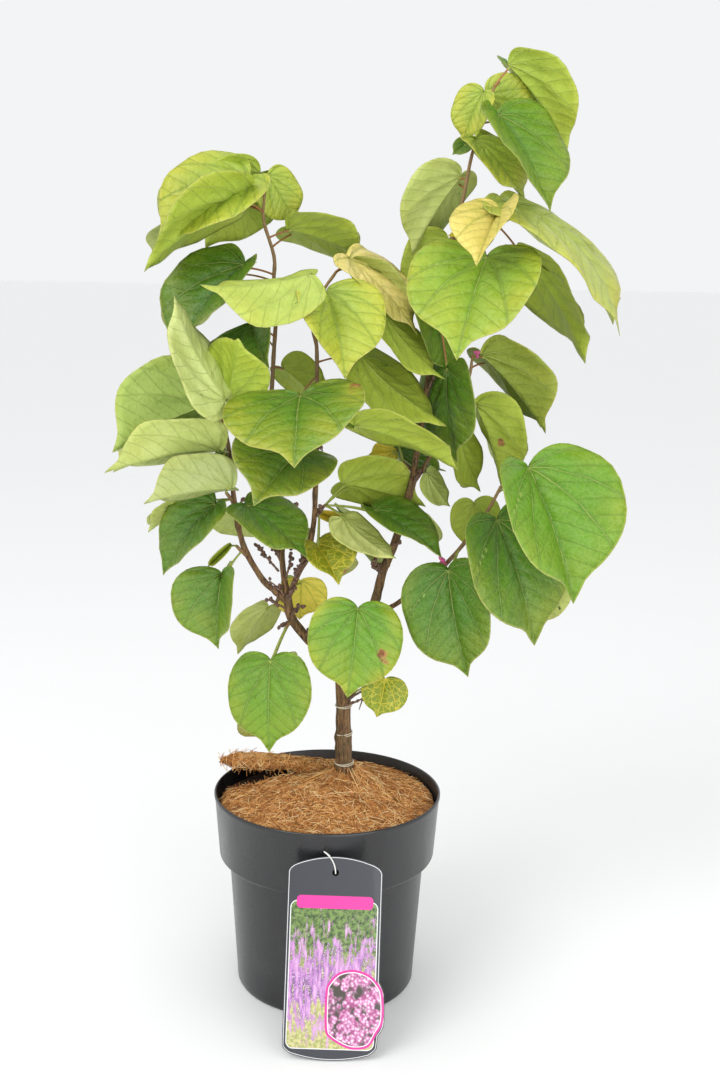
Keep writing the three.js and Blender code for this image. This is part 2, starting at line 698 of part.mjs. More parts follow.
const limbSkins = [];
for (const [name, points] of Object.entries(limbs)) {
  const path = smooth(points, 2);
  const sides = name === "trunk" ? 12 : 8;
  let body = tube(path, sides);
  for (const skin of limbSkins) {
    if (boxesTouch(body, skin, 0)) body = largest(body.subtract(skin));
  }
  limbSkins.push(swollen(path, sides));
  keep(name, body, colors.bark);
}

const random = seededRandom(5);
const leftOut = [];
const woods = {};
for (const [name, { wood }] of Object.entries(masses)) {
  const paths = wood.map((points) => smooth(points, 2));
  let body = tube(paths[0], 6);
  for (const path of paths.slice(1)) body = body.add(tube(path, 5));
  for (const skin of limbSkins) {
    if (boxesTouch(body, skin, 0)) body = largest(body.subtract(skin));
  }
  woods[name] = { body, points: paths.flatMap((path) => path.slice(2)) };
}

// Front leaves of every mass first, then the back leaves where there is room for them
function grow(name, row, label, rim) {
  const mass = woods[name];
  const leaf = blade(row, rim).add(petiole(row, mass.points));
  const inTheWay = built.some(({ body }) => tooClose(leaf, body, clear + 0.1))
    || Object.entries(woods).some(([other, { body }]) => other !== name && tooClose(leaf, body, clear + 0.1));
  if (inTheWay) leftOut.push(label);
  else mass.body = mass.body.add(leaf);
}

for (const [name, { leaves }] of Object.entries(masses)) {
  leaves.forEach((row, i) => grow(name, row, `${name} ${i}`, frontRim));
}
for (const [name, { wood, leaves }] of Object.entries(masses)) {
  const depth = wood[0].reduce((sum, p) => sum + p[2], 0) / wood[0].length;
  leaves.forEach((row, i) => {
    const back = backLeaf(row, depth, random);
    if (bladeFrame(back).length > smallestBack) grow(name, back, `${name} back ${i}`, backRim);
  });
}
for (const [name, { body }] of Object.entries(woods)) keep(name, largest(body), colors.leaf);
plant.userData.leftOut = leftOut;

export default plant;
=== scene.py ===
import math
import random

import bpy
import numpy as np
from mathutils import Matrix, Vector, noise


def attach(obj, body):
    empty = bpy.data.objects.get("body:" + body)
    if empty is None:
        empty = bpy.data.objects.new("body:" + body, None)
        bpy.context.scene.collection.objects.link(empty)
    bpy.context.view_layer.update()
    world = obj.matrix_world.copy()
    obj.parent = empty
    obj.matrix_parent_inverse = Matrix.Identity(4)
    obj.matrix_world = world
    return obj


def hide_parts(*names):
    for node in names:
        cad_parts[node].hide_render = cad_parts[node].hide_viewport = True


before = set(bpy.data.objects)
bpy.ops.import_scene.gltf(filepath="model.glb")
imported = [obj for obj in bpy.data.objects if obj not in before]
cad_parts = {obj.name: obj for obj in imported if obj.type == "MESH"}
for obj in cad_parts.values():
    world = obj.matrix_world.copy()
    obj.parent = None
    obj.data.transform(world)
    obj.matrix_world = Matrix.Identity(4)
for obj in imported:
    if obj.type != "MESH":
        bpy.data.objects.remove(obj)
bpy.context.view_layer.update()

# A potted Chinese redbud. Lengths are in millimetres until a mesh is made, then metres.
mm = 0.001
viewer = np.array([29.0, -1300.0, 724.0])   # where the photo was taken from

lensSettings = {
    "lens": 44.8,
    "sensor": 36,
    "pitchDown": 11.35,      # degrees
    "roll": 0.017,           # radians
}

scene = bpy.context.scene
cameraData = bpy.data.cameras.new("camera")
cameraData.lens = lensSettings["lens"]
cameraData.sensor_width = lensSettings["sensor"]
camera = bpy.data.objects.new("camera", cameraData)
scene.collection.objects.link(camera)
camera.matrix_world = (Matrix.Translation(Vector(viewer * mm))
                       @ Matrix.Rotation(math.radians(90 - lensSettings["pitchDown"]), 4, "X")
                       @ Matrix.Rotation(lensSettings["roll"], 4, "Z"))
scene.camera = camera
scene.view_settings.view_transform = "Standard"
print("camera: done")

# Where wood and leaves are.
# A place is [across, up, depth]: where it is seen on the upright plane through the pot's axis, and
# how far in front of that plane (negative) or behind it. Points of wood carry a radius as well.
# A leaf is [base across, up, depth, tip across, up, depth, seen half width on its left hand, on its
# right hand, look(, bow)]. Looks u, p and o show the underside; g, m, l, v, y and a the upper side.

limbs = {
    "trunk": [[17, 207, 0, 12], [17, 218, 0, 9.6], [16.5, 240, 0, 8.4],
        [15.5, 280, 0, 7.6], [15, 322, 0, 8]],
    "bough_left": [[15, 308, 0, 5.4], [10, 328, -1, 5.6], [-2, 343, -2, 5.2],
        [-23, 363, -3, 4.9], [-38, 383, -3, 4.6], [-43, 408, -3, 4.2]],
    "bough_left_outer": [[-41, 398, -3, 3.2], [-55, 410, -5, 3.1], [-68, 423, -8, 3], [-84, 451, -12, 2.8],
        [-92, 480, -16, 2.6], [-97, 518, -20, 2.3], [-100, 550, -23, 2.1]],
    "bough_left_leader": [[-43, 404, -3, 3.1], [-48, 445, 2, 2.9], [-49, 500, 8, 2.6],
        [-54, 560, 15, 2.4], [-59, 605, 18, 2.1]],
    "bough_centre": [[-42, 402, -3, 2.9], [-31, 429, -5, 2.8], [-23, 444, -6, 2.8], [-19, 464, -8, 2.7],
        [-16, 490, -10, 2.5], [-14.5, 550, -18, 2.2], [-15, 600, -22, 2]],
    "bough_right": [[17, 308, 0, 5], [24, 335, 0, 5], [32, 357, 1, 4.8], [45, 402, 3, 4.5],
        [52, 432, 4, 4.3], [58, 447, 5, 4.2], [66, 470, 6, 3.9], [82, 534, 10, 3.5]],
    "bough_right_leader": [[80, 528, 10, 3], [88, 590, 10, 2.7], [94, 640, 9, 2.4]],
    "bough_right_side": [[80, 520, 9, 2.2], [92, 540, 12, 2.1], [110, 578, 18, 1.8]],
    "bough_right_low": [[43, 388, 3, 2.5], [65, 398, -3, 2.4], [90, 419, -8, 2.3], [112, 437, -13, 2.1]],
}

masses = {
    "leaves_left_top": {
        "wood": [
            [[-59, 605, 18, 2.1], [-57, 640, 19, 2], [-55, 680, 20, 1.9], [-57, 712, 20, 1.8],
             [-57, 736, 20, 1.7], [-67, 769, 20, 1.5], [-66, 795, 20, 1.3], [-69, 809, 20, 1.2]],
        ],
        "leaves": [
            [-70, 812, 30, -122, 742, 48, 38, 40, "u"],
            [-80, 807, 12, -168, 743, -18, 20, 46, "l"],
            [-84, 788, -5, -180, 719, -42, 9, 32, "u"],
            [-63, 809, 26, -37, 766, 38, 23, 22, "l"],
            [-43, 761, 26, 32, 732, 44, 27, 13, "o"],
            [-85, 727, 0, -156, 637, -25, 8, 46, "g"],
            [-77, 672, -5, -61, 630, -70, 23, 46, "g"],
            [-49, 631, 30, -10, 596, 42, 27, 14, "o"],
        ],
    },
    "leaves_left_outer": {
        "wood": [[[-100, 550, -23, 2.1], [-104, 570, -24, 1.9], [-110, 586, -25, 1.6]]],
        "leaves": [
            [-104, 599, -86, -152, 697, -108, 26, 13, "p"],
            [-103, 599, -54, -91, 658, -98, 25, 35, "u"],
            [-120, 594, -15, -214, 546, -50, 22, 62, "u"],
            [-110, 550, -48, -222, 525, -72, 3, 36, "p"],
            [-104, 546, 5, -112, 508, 12, 14, 14, "g"],
        ],
    },
    "leaves_left_low": {
        "wood": [[[-95, 497, -18, 2.4], [-99, 503, -19, 1.8], [-103, 508, -20, 1.6]]],
        "leaves": [
            [-98, 513, -54, -184, 495, -74, 4, 38, "p"],
            [-113, 497, -12, -166, 424, -25, 12, 34, "g"],
            [-140, 495, 12, -180, 467, 16, 3, 14, "p"],
        ],
    },
    "leaves_left_hanging": {
        "wood": [[[-83, 446, -12, 2.4], [-89, 451, -14, 1.8], [-93, 455, -15, 1.6]]],
        "leaves": [
            [-107, 426, -30, -111, 349, -50, 13, 48, "m"],
            [-99, 456, -4, -122, 433, 2, 4, 4, "l"],
        ],
    },
    "leaf_left_small": {
        "wood": [[[-50, 404, -4, 2.4], [-53, 399, 2, 1.6], [-55, 396, 6, 1.4]]],
        "leaves": [[-61, 393, 12, -92, 344, 18, 15, 20, "p"]],
    },
    "leaf_left_low": {
        "wood": [[[-37, 380, -3, 2.4], [-41, 376, -12, 1.6], [-44, 372, -18, 1.5]]],
        "leaves": [[-59, 338, -40, -60, 241, -60, 40, 41, "m"]],
    },
    "leaf_yellow": {
        "wood": [[[-42, 402, 0, 2.4], [-40, 408, 8, 1.6], [-37, 414, 12, 1.4]]],
        "leaves": [[-29, 421, 22, -30, 381, 32, 27, 24, "y"]],
    },
    "leaves_centre_top": {
        "wood": [
            [[-15, 600, -22, 2], [-15, 630, -25, 1.9], [-16, 653, -27, 1.8],
             [-19, 670, -28, 1.7], [-12, 700, -28, 1.5], [2, 722, -22, 1.3]],
        ],
        "leaves": [
            [-22, 719, -82, -127, 708, -108, 38, 3, "u"],
            [-7, 704, -52, 12, 621, -92, 48, 26, "l"],
            [14, 734, -4, 80, 664, -16, 27, 12, "y"],
            [46, 686, -22, 108, 622, -28, 14, 18, "u"],
            [24, 646, -22, 111, 577, -42, 18, 29, "o"],
            [-31, 604, -76, -36, 533, -152, 57, 66, "g"],
        ],
    },
    "leaves_centre": {
        "wood": [[[-15, 560, -19, 2.4], [-18, 566, -26, 1.8], [-20, 569, -31, 1.6]]],
        "leaves": [
            [-33, 548, -48, -76, 495, -112, 36, 54, "g"],
            [22, 576, -61, 124, 534, -46, 22, 6, "o"],
        ],
    },
    "leaf_centre_left": {
        "wood": [[[-49, 502, 8, 2.6], [-55, 503, 2, 1.8], [-60, 502, -4, 1.6]]],
        "leaves": [
            [-84, 496, -28, -23, 444, -58, 30, 20, "g"],
            [-78, 478, 26, -124, 474, 34, 14, 15, "p"],
        ],
    },
    "leaves_centre_right": {
        "wood": [[[-16, 490, -10, 2.4], [-10, 494, -6, 1.8], [-6, 497, -2, 1.6]]],
        "leaves": [
            [11, 519, 16, 93, 497, 21, 36, 17, "o"],
            [-14, 458, -10, 9, 417, -43, 34, 16, "v"],
            [12, 485, -10, 65, 445, -38, 12, 19, "p"],
            [42, 493, -18, 110, 446, -44, 27, 6, "g"],
            [-12, 489, 6, 18, 481, 22, 6, 6, "y"],
        ],
    },
    "leaf_right_low": {
        "wood": [[[22, 330, -4, 2.4], [24, 338, -14, 1.6], [25, 345, -20, 1.5]]],
        "leaves": [[28, 394, -42, 19, 300, -62, 47, 45, "m"]],
    },
    "leaf_trunk": {
        "wood": [[[16, 300, 0, 2.4], [23, 304, -4, 1.5], [27, 307, -8, 1.4]]],
        "leaves": [[57, 321, -22, 49, 280, -32, 25, 21, "v"]],
    },
    "leaves_right_top": {
        "wood": [
            [[94, 640, 9, 2.4], [102, 700, 7, 2.2], [109, 745, 5, 2], [120, 790, 3, 1.8],
             [126, 825, 2, 1.6], [132, 848, 1, 1.5], [139, 870, 0, 1.4], [146, 892, 0, 1.2]],
            [[111, 752, 5, 1.6], [135, 762, 2, 1.4], [155, 766, 0, 1.3]],
        ],
        "leaves": [
            [158, 912, 0, 216, 834, 20, 37, 5, "u"],
            [140, 884, 12, 186, 872, 24, 24, 20, "l"],
            [150, 867, -22, 203, 781, -52, 42, 9, "m"],
            [136, 887, 8, 118, 842, 16, 14, 22, "l"],
            [130, 845, -10, 178, 790, -30, 22, 10, "l"],
            [122, 841, 2, 109, 831, -4, 7, 9, "g"],
            [118, 812, 12, 74, 738, 25, 17, 38, "p"],
            [140, 775, -14, 107, 757, -24, 18, 14, "y"],
            [156, 781, -50, 135, 729, -90, 10, 38, "a"],
            [165, 788, -10, 275, 667, -35, 19, 15, "l", 0.13],
            [176, 742, 15, 243, 640, 25, 22, 20, "o"],
            [145, 738, -35, 119, 640, -105, 50, 64, "m"],
            [108, 754, 25, 86, 684, 35, 25, 38, "o"],
            [88, 700, 18, 112, 622, 14, 22, 16, "g"],
            [110, 632, 0, 123, 541, -11, 24, 32, "g"],
        ],
    },
    "leaves_right_inner": {
        "wood": [[[81, 530, 12, 2.4], [76, 536, 20, 1.8], [70, 541, 26, 1.5]]],
        "leaves": [
            [48, 600, 54, 108, 577, 58, 10, 10, "g"],
            [62, 552, 40, 36, 548, 46, 12, 12, "y"],
            [64, 556, 36, 112, 533, 42, 10, 12, "g"],
            [94, 530, 25, 117, 498, 30, 12, 14, "p"],
        ],
    },
    "leaves_right_side": {
        "wood": [[[110, 578, 18, 1.8], [130, 620, 22, 1.6], [134, 645, 23, 1.3]]],
        "leaves": [
            [143, 646, 20, 207, 571, 30, 42, 9, "o"],
            [138, 599, 20, 167, 516, 25, 40, 3, "o"],
            [124, 568, 30, 146, 513, 38, 16, 18, "o"],
        ],
    },
    "leaves_right_low": {
        "wood": [[[112, 437, -13, 2.1], [132, 462, -18, 1.9], [153, 493, -25, 1.7], [166, 519, -30, 1.4]]],
        "leaves": [
            [192, 538, -52, 243, 402, -88, 74, 31, "m"],
            [163, 486, -38, 206, 358, -58, 56, 38, "m"],
            [117, 434, -30, 140, 324, -46, 34, 50, "g"],
            [140, 503, 8, 148, 452, 18, 26, 26, "o"],
        ],
    },
}


def ease(t):
    k = min(1.0, max(0.0, t))
    return k * k * (3 - 2 * k)


def unit(v):
    return v / np.linalg.norm(v)


def bezier(a, b, c, d, t):
    r = 1 - t
    return a * r ** 3 + 3 * b * r * r * t + 3 * c * r * t * t + d * t ** 3


def arc(a, b, c, t):       # from a to c, drawn towards b
    return (1 - t) ** 2 * a + 2 * t * (1 - t) * b + t * t * c


def spline(a, b, c, d, t):       # from b to c, on a smooth curve through all four
    return 0.5 * (2 * b + (c - a) * t + (2 * a - 5 * b + 4 * c - d) * t * t
                  + (3 * b - a - 3 * c + d) * t ** 3)


def linear(color):       # from 0-255 screen colour to the values a shader takes
    c = np.array(color, float) / 255
    return np.where(c <= 0.04045, c / 12.92, ((c + 0.055) / 1.055) ** 2.4)


def rgba(color):
    return (*linear(color), 1)


def seen(place):       # the point in space that is seen at a place
    x, z, y = place
    onPlane = np.array([x, 0.0, z])
    return viewer + (onPlane - viewer) * (y - viewer[1]) / -viewer[1]


def jitter(rnd, amount):
    return np.array([rnd.gauss(0, amount) for _ in range(3)])


# a mesh object from points in millimetres; slots gives each face's material
def addMesh(name, points, faces, materials, smooth=True, slots=None):
    mesh = bpy.data.meshes.new(name)
    mesh.from_pydata([tuple(p) for p in np.asarray(points) * mm], [], faces)
    mesh.validate()
    for material in materials:
        mesh.materials.append(material)
    if slots is not None:
        mesh.polygons.foreach_set("material_index", slots)
    mesh.polygons.foreach_set("use_smooth", [smooth] * len(mesh.polygons))
    mesh.update()
    obj = bpy.data.objects.new(name, mesh)
    scene.collection.objects.link(obj)
    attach(obj, "root")
    return obj


def addPointFloat(obj, name, values):
    obj.data.attributes.new(name, "FLOAT", "POINT").data.foreach_set("value", np.asarray(values, float))


def addPointColor(obj, name, values):
    colors = np.ones((len(values), 4))
    colors[:, :3] = values
    obj.data.attributes.new(name, "FLOAT_COLOR", "POINT").data.foreach_set("color", colors.ravel())


def addPointUv(obj, name, values):
    loops = np.empty(len(obj.data.loops), int)
    obj.data.loops.foreach_get("vertex_index", loops)
    layer = obj.data.uv_layers.new(name=name)
    layer.uv.foreach_set("vector", np.asarray(values, float)[loops].ravel())


# a smooth curve through the given places, as rows of x, y, z, radius
def smoothPath(places, steps):
    p = np.array([list(seen(q[:3])) + [q[3]] for q in places])
    p = np.vstack([2 * p[0] - p[1], p, 2 * p[-1] - p[-2]])
    path = [spline(*p[i - 1:i + 3], t) for i in range(1, len(p) - 2) for t in np.arange(steps) / steps]
    return np.array(path + [p[-2]])


# a curve from foot to end, drawn towards middle; radius(t) is its radius there
def arcPath(foot, middle, end, count, radius):
    return np.array([[*arc(foot, middle, end, t), radius(t)] for t in np.linspace(0, 1, count)])


# points and faces of a closed tube; relief(i, angle) scales the radius of ring i
def tubeMesh(path, sides, relief=None):
    points, faces = [], []
    across = np.array([0.9, 0.1, 0.2])       # any direction that no path starts along
    for i, ring in enumerate(path):
        ahead = unit(path[min(i + 1, len(path) - 1)][:3] - path[max(i - 1, 0)][:3])
        across = unit(across - ahead * np.dot(across, ahead))
        side = np.cross(ahead, across)
        for j in range(sides):
            angle = 2 * math.pi * j / sides
            radius = ring[3] * (relief(i, angle) if relief else 1)
            points.append(ring[:3] + radius * (math.cos(angle) * across + math.sin(angle) * side))
    for i in range(len(path) - 1):
        for j in range(sides):
            k = (j + 1) % sides
            faces.append((i * sides + j, i * sides + k, (i + 1) * sides + k, (i + 1) * sides + j))
    last = (len(path) - 1) * sides
    faces.append(tuple(range(sides))[::-1])
    faces.append(tuple(last + j for j in range(sides)))
    return points, faces


# points and faces of a closed solid of revolution, from a profile that starts and ends on Z
def revolve(profile, steps):
    points, faces, rings = [], [], []
    for r, z in profile:
        if r == 0:
            rings.append([len(points)] * steps)
            points.append((0, 0, z))
        else:
            rings.append(list(range(len(points), len(points) + steps)))
            points += [(r * math.cos(2 * math.pi * j / steps), r * math.sin(2 * math.pi * j / steps), z)
                       for j in range(steps)]
    for low, high in zip(rings, rings[1:]):
        for j in range(steps):
            k = (j + 1) % steps
            faces.append(tuple(dict.fromkeys([low[j], low[k], high[k], high[j]])))
    return points, faces


# gathers many small meshes, with a value of each kind per point, into one
class Parts:
    def __init__(self):
        self.points, self.faces, self.values = [], [], {}

    def add(self, points, faces, **values):
        start = len(self.points)
        self.points += list(points)
        self.faces += [tuple(i + start for i in face) for face in faces]
        for name, value in values.items():
            value = np.asarray(value, float)
            if value.ndim == 0 or len(value) != len(points):       # one value for all points
                value = np.repeat([value], len(points), axis=0)
            self.values.setdefault(name, []).append(value)

    def column(self, name):
        return np.concatenate(self.values[name])


# short calls to lay out a material's nodes
class Nodes:
    def __init__(self, name):
        self.material = bpy.data.materials.new(name)
        self.material.use_nodes = True
        self.tree = self.material.node_tree
        self.surface = self.tree.nodes["Principled BSDF"]

    def node(self, kind, inputs=None, **settings):
        made = self.tree.nodes.new(kind)
        for key, value in settings.items():
            setattr(made, key, value)
        for key, value in (inputs or {}).items():
            self.set(made.inputs[key], value)
        return made

    def set(self, socket, value):
        if isinstance(value, bpy.types.NodeSocket):
            self.tree.links.new(value, socket)
        elif value is not None:
            socket.default_value = value

    def attribute(self, name, output="Fac"):
        return self.node("ShaderNodeAttribute", attribute_name=name).outputs[output]

    def place(self):
        return self.node("ShaderNodeTexCoord").outputs["Object"]

    def stretched(self, scale, vector=None):       # scaled by axis, for grain that runs one way
        return self.node("ShaderNodeMapping", {"Vector": vector or self.place(),
                                               "Scale": scale}).outputs["Vector"]

    def math(self, operation, a, b=None):
        return self.node("ShaderNodeMath", {0: a, 1: b}, operation=operation).outputs[0]

    def plus(self, a, b):
        return self.math("ADD", a, b)

    def minus(self, a, b):
        return self.math("SUBTRACT", a, b)

    def times(self, a, b):
        return self.math("MULTIPLY", a, b)

    def most(self, a, b):
        return self.math("MAXIMUM", a, b)

    def vector(self, operation, a, b):
        return self.node("ShaderNodeVectorMath", {0: a, 1: b}, operation=operation).outputs[0]

    # low at start, high at end, eased between and held outside
    def fade(self, value, start, end, low=0.0, high=1.0):
        return self.node("ShaderNodeMapRange", {"Value": value, "From Min": start, "From Max": end,
                                                "To Min": low, "To Max": high},
                         interpolation_type="SMOOTHSTEP").outputs["Result"]

    def mix(self, amount, a, b, blend="MIX"):
        return self.node("ShaderNodeMix", {"Factor": amount, "A": a, "B": b},
                         data_type="RGBA", blend_type=blend).outputs["Result"]

    def stain(self, amount, base, color):       # darkens the base by a colour
        return self.mix(amount, base, self.mix(1, base, rgba(color), "MULTIPLY"))

    def noise(self, scale, detail=4, roughness=0.55, vector=None):
        return self.node("ShaderNodeTexNoise", {"Vector": vector or self.place(), "Scale": scale,
                                                "Detail": detail, "Roughness": roughness}).outputs["Fac"]

    def cells(self, scale, vector=None, feature="F1"):
        return self.node("ShaderNodeTexVoronoi", {"Vector": vector or self.place(), "Scale": scale},
                         feature=feature).outputs["Distance"]

    def ramp(self, value, *stops):
        made = self.node("ShaderNodeValToRGB", {"Fac": value})
        elements = made.color_ramp.elements
        while len(elements) < len(stops):
            elements.new(0.5)
        for element, (position, color) in zip(elements, stops):
            element.position = position
            element.color = rgba(color)
        return made.outputs["Color"]

    def finish(self, color, roughness, height=None, bumpDepth=0.001, bumpStrength=0.5, **others):
        self.set(self.surface.inputs["Base Color"], color)
        self.set(self.surface.inputs["Roughness"], roughness)
        if height is not None:
            bump = self.node("ShaderNodeBump", {"Height": height, "Distance": bumpDepth,
                                                "Strength": bumpStrength})
            self.set(self.surface.inputs["Normal"], bump.outputs["Normal"])
        for key, value in others.items():
            self.set(self.surface.inputs[key.replace("_", " ")], value)
        return self.material


leafSettings = {
    # looks: dark green, mid green, light green, three undersides (olive, pale, plain), far turned,
    # yellow, apricot. The three underside tones are the undersides' own pale green with painted light added:
    # brighter, as if lit through the blade
    "tones": {"g": (60, 112, 14), "m": (94, 142, 20), "l": (160, 182, 66), "o": (162, 182, 60),
              "p": (194, 206, 124), "u": (174, 196, 74), "v": (112, 142, 26), "y": (236, 206, 66),
              "a": (228, 206, 118)},
    # the own tone of leaf_yellow 0 is brighter than its yellow: painted light, as if lit through the blade
    "ownTones": {"leaf_yellow 0": (255, 235, 98), "leaves_centre_top 0": (172, 190, 92),
                 "leaves_centre_top 2": (240, 218, 142), "leaves_right_side 0": (132, 150, 52),
                 "leaves_left_outer 2": (176, 200, 104), "leaves_left_low 0": (176, 188, 126),
                 "leaves_right_low 0": (92, 144, 26), "leaves_right_low 1": (66, 122, 16),
                 "leaves_right_top 2": (84, 134, 18), "leaves_right_top 11": (126, 166, 50),
                 "leaves_left_hanging 0": (76, 126, 24), "leaf_right_low 0": (84, 142, 24),
                 "leaf_trunk 0": (74, 122, 18), "leaves_centre_right 1": (96, 122, 12),
                 "leaves_left_outer 0": (210, 220, 146), "leaves_right_top 9": (168, 184, 88),
                 "leaves_centre_right 2": (232, 234, 160), "leaves_centre_top 5": (74, 126, 20)},
    # how far each look has turned yellow
    "turned": {"g": 0.14, "m": 0.16, "l": 0.42, "u": 0.2, "p": 0.14, "o": 0.2, "v": 0.85, "y": 0.3,
               "a": 0.25},
    # leaf_yellow 0 does not turn, which keeps its painted light bright
    "ownTurned": {"leaves_centre_top 5": 0.36, "leaves_centre 0": 0.3, "leaf_right_low 0": 0.4,
                  "leaves_right_top 11": 0.4, "leaf_yellow 0": 0.0, "leaves_left_outer 2": 0.1},
    "undersides": "upo",
    "underTone": (162, 184, 96),
    "upperTone": (72, 124, 36),
    "turnedTone": (226, 208, 66),
    "veinTone": (206, 214, 122),
    "yellowVeinTone": (232, 212, 70),
    "rimTone": (214, 206, 120),
    "speckTone": (112, 82, 44),
    "deadTones": ((126, 78, 40), (176, 128, 74)),
    "droop": 0.05,            # how far a blade bows, of its length
    "cup": 0.035,             # how far its edges bend down
    "wave": 0.028,
    "quilt": 0.04,            # how far the blade swells between its main veins
    "thickness": 0.45,
    "backSize": 0.85,         # a back leaf's size beside the front leaf it backs
    "backDistance": 34,       # how far behind the twig a back leaf begins
    "smallestBack": 50,
    "rays": 25,               # in each half
    "rings": 9,
    "seed": 5,
    # dead patches: which leaf, then across, along and size of each
    "marks": {"leaf_right_low 0": [(0.3, 0.47, 0.07), (0.34, 0.56, 0.05)],
              "leaves_centre_top 5": [(0.42, 0.1, 0.06), (0.43, 0.2, 0.05)],
              "leaves_left_low 0": [(0.2, 0.5, 0.03)], "leaves_right_side 1": [(0.1, 0.5, 0.06)],
              "leaves_centre_right 0": [(-0.1, 0.95, 0.07)],
              "leaves_centre_right 1": [(0.2, 0.85, 0.09)]},
}
# back leaves that would touch something
noRoom = {"leaves_left_outer back 0", "leaves_left_outer back 1", "leaves_left_low back 0",
          "leaves_left_low back 1", "leaves_centre_top back 0", "leaves_centre_top back 3",
          "leaves_centre_top back 4", "leaves_centre_top back 5", "leaves_centre back 0",
          "leaves_centre back 1", "leaf_right_low back 0", "leaf_trunk back 0",
          "leaves_right_top back 14"}

veinSettings = {
    # main veins fan out from the base: starting angle, bend towards the tip, width
    "main": ((0.0, 0.0, 0.0085), (0.62, 0.36, 0.0075), (1.18, 0.42, 0.0065), (1.85, 0.3, 0.005)),
    "swellBetween": (0.0, 0.62, 1.18, 1.85, 2.6),       # angles that the blade swells between
    "taper": 0.65,
    "waver": (0.03, 0.03, 0.0),
    # side veins, a set within the first pair of main veins and one outside it: share along, share
    # across, and half the gap between two
    "inner": (1.0, 0.78, 0.066),
    "outer": (0.94, 0.33, 0.058),
    "pairBend": 0.223,
    "netScales": (15.0, 48.0),       # the net between them, coarse and fine
    "yellowNetScale": 7.5,
    "farTurned": (0.65, 0.75),       # a leaf that has turned this far has a yellow net
}
bladeBase = (0.5, 0.3)       # where a blade's base lies on its map


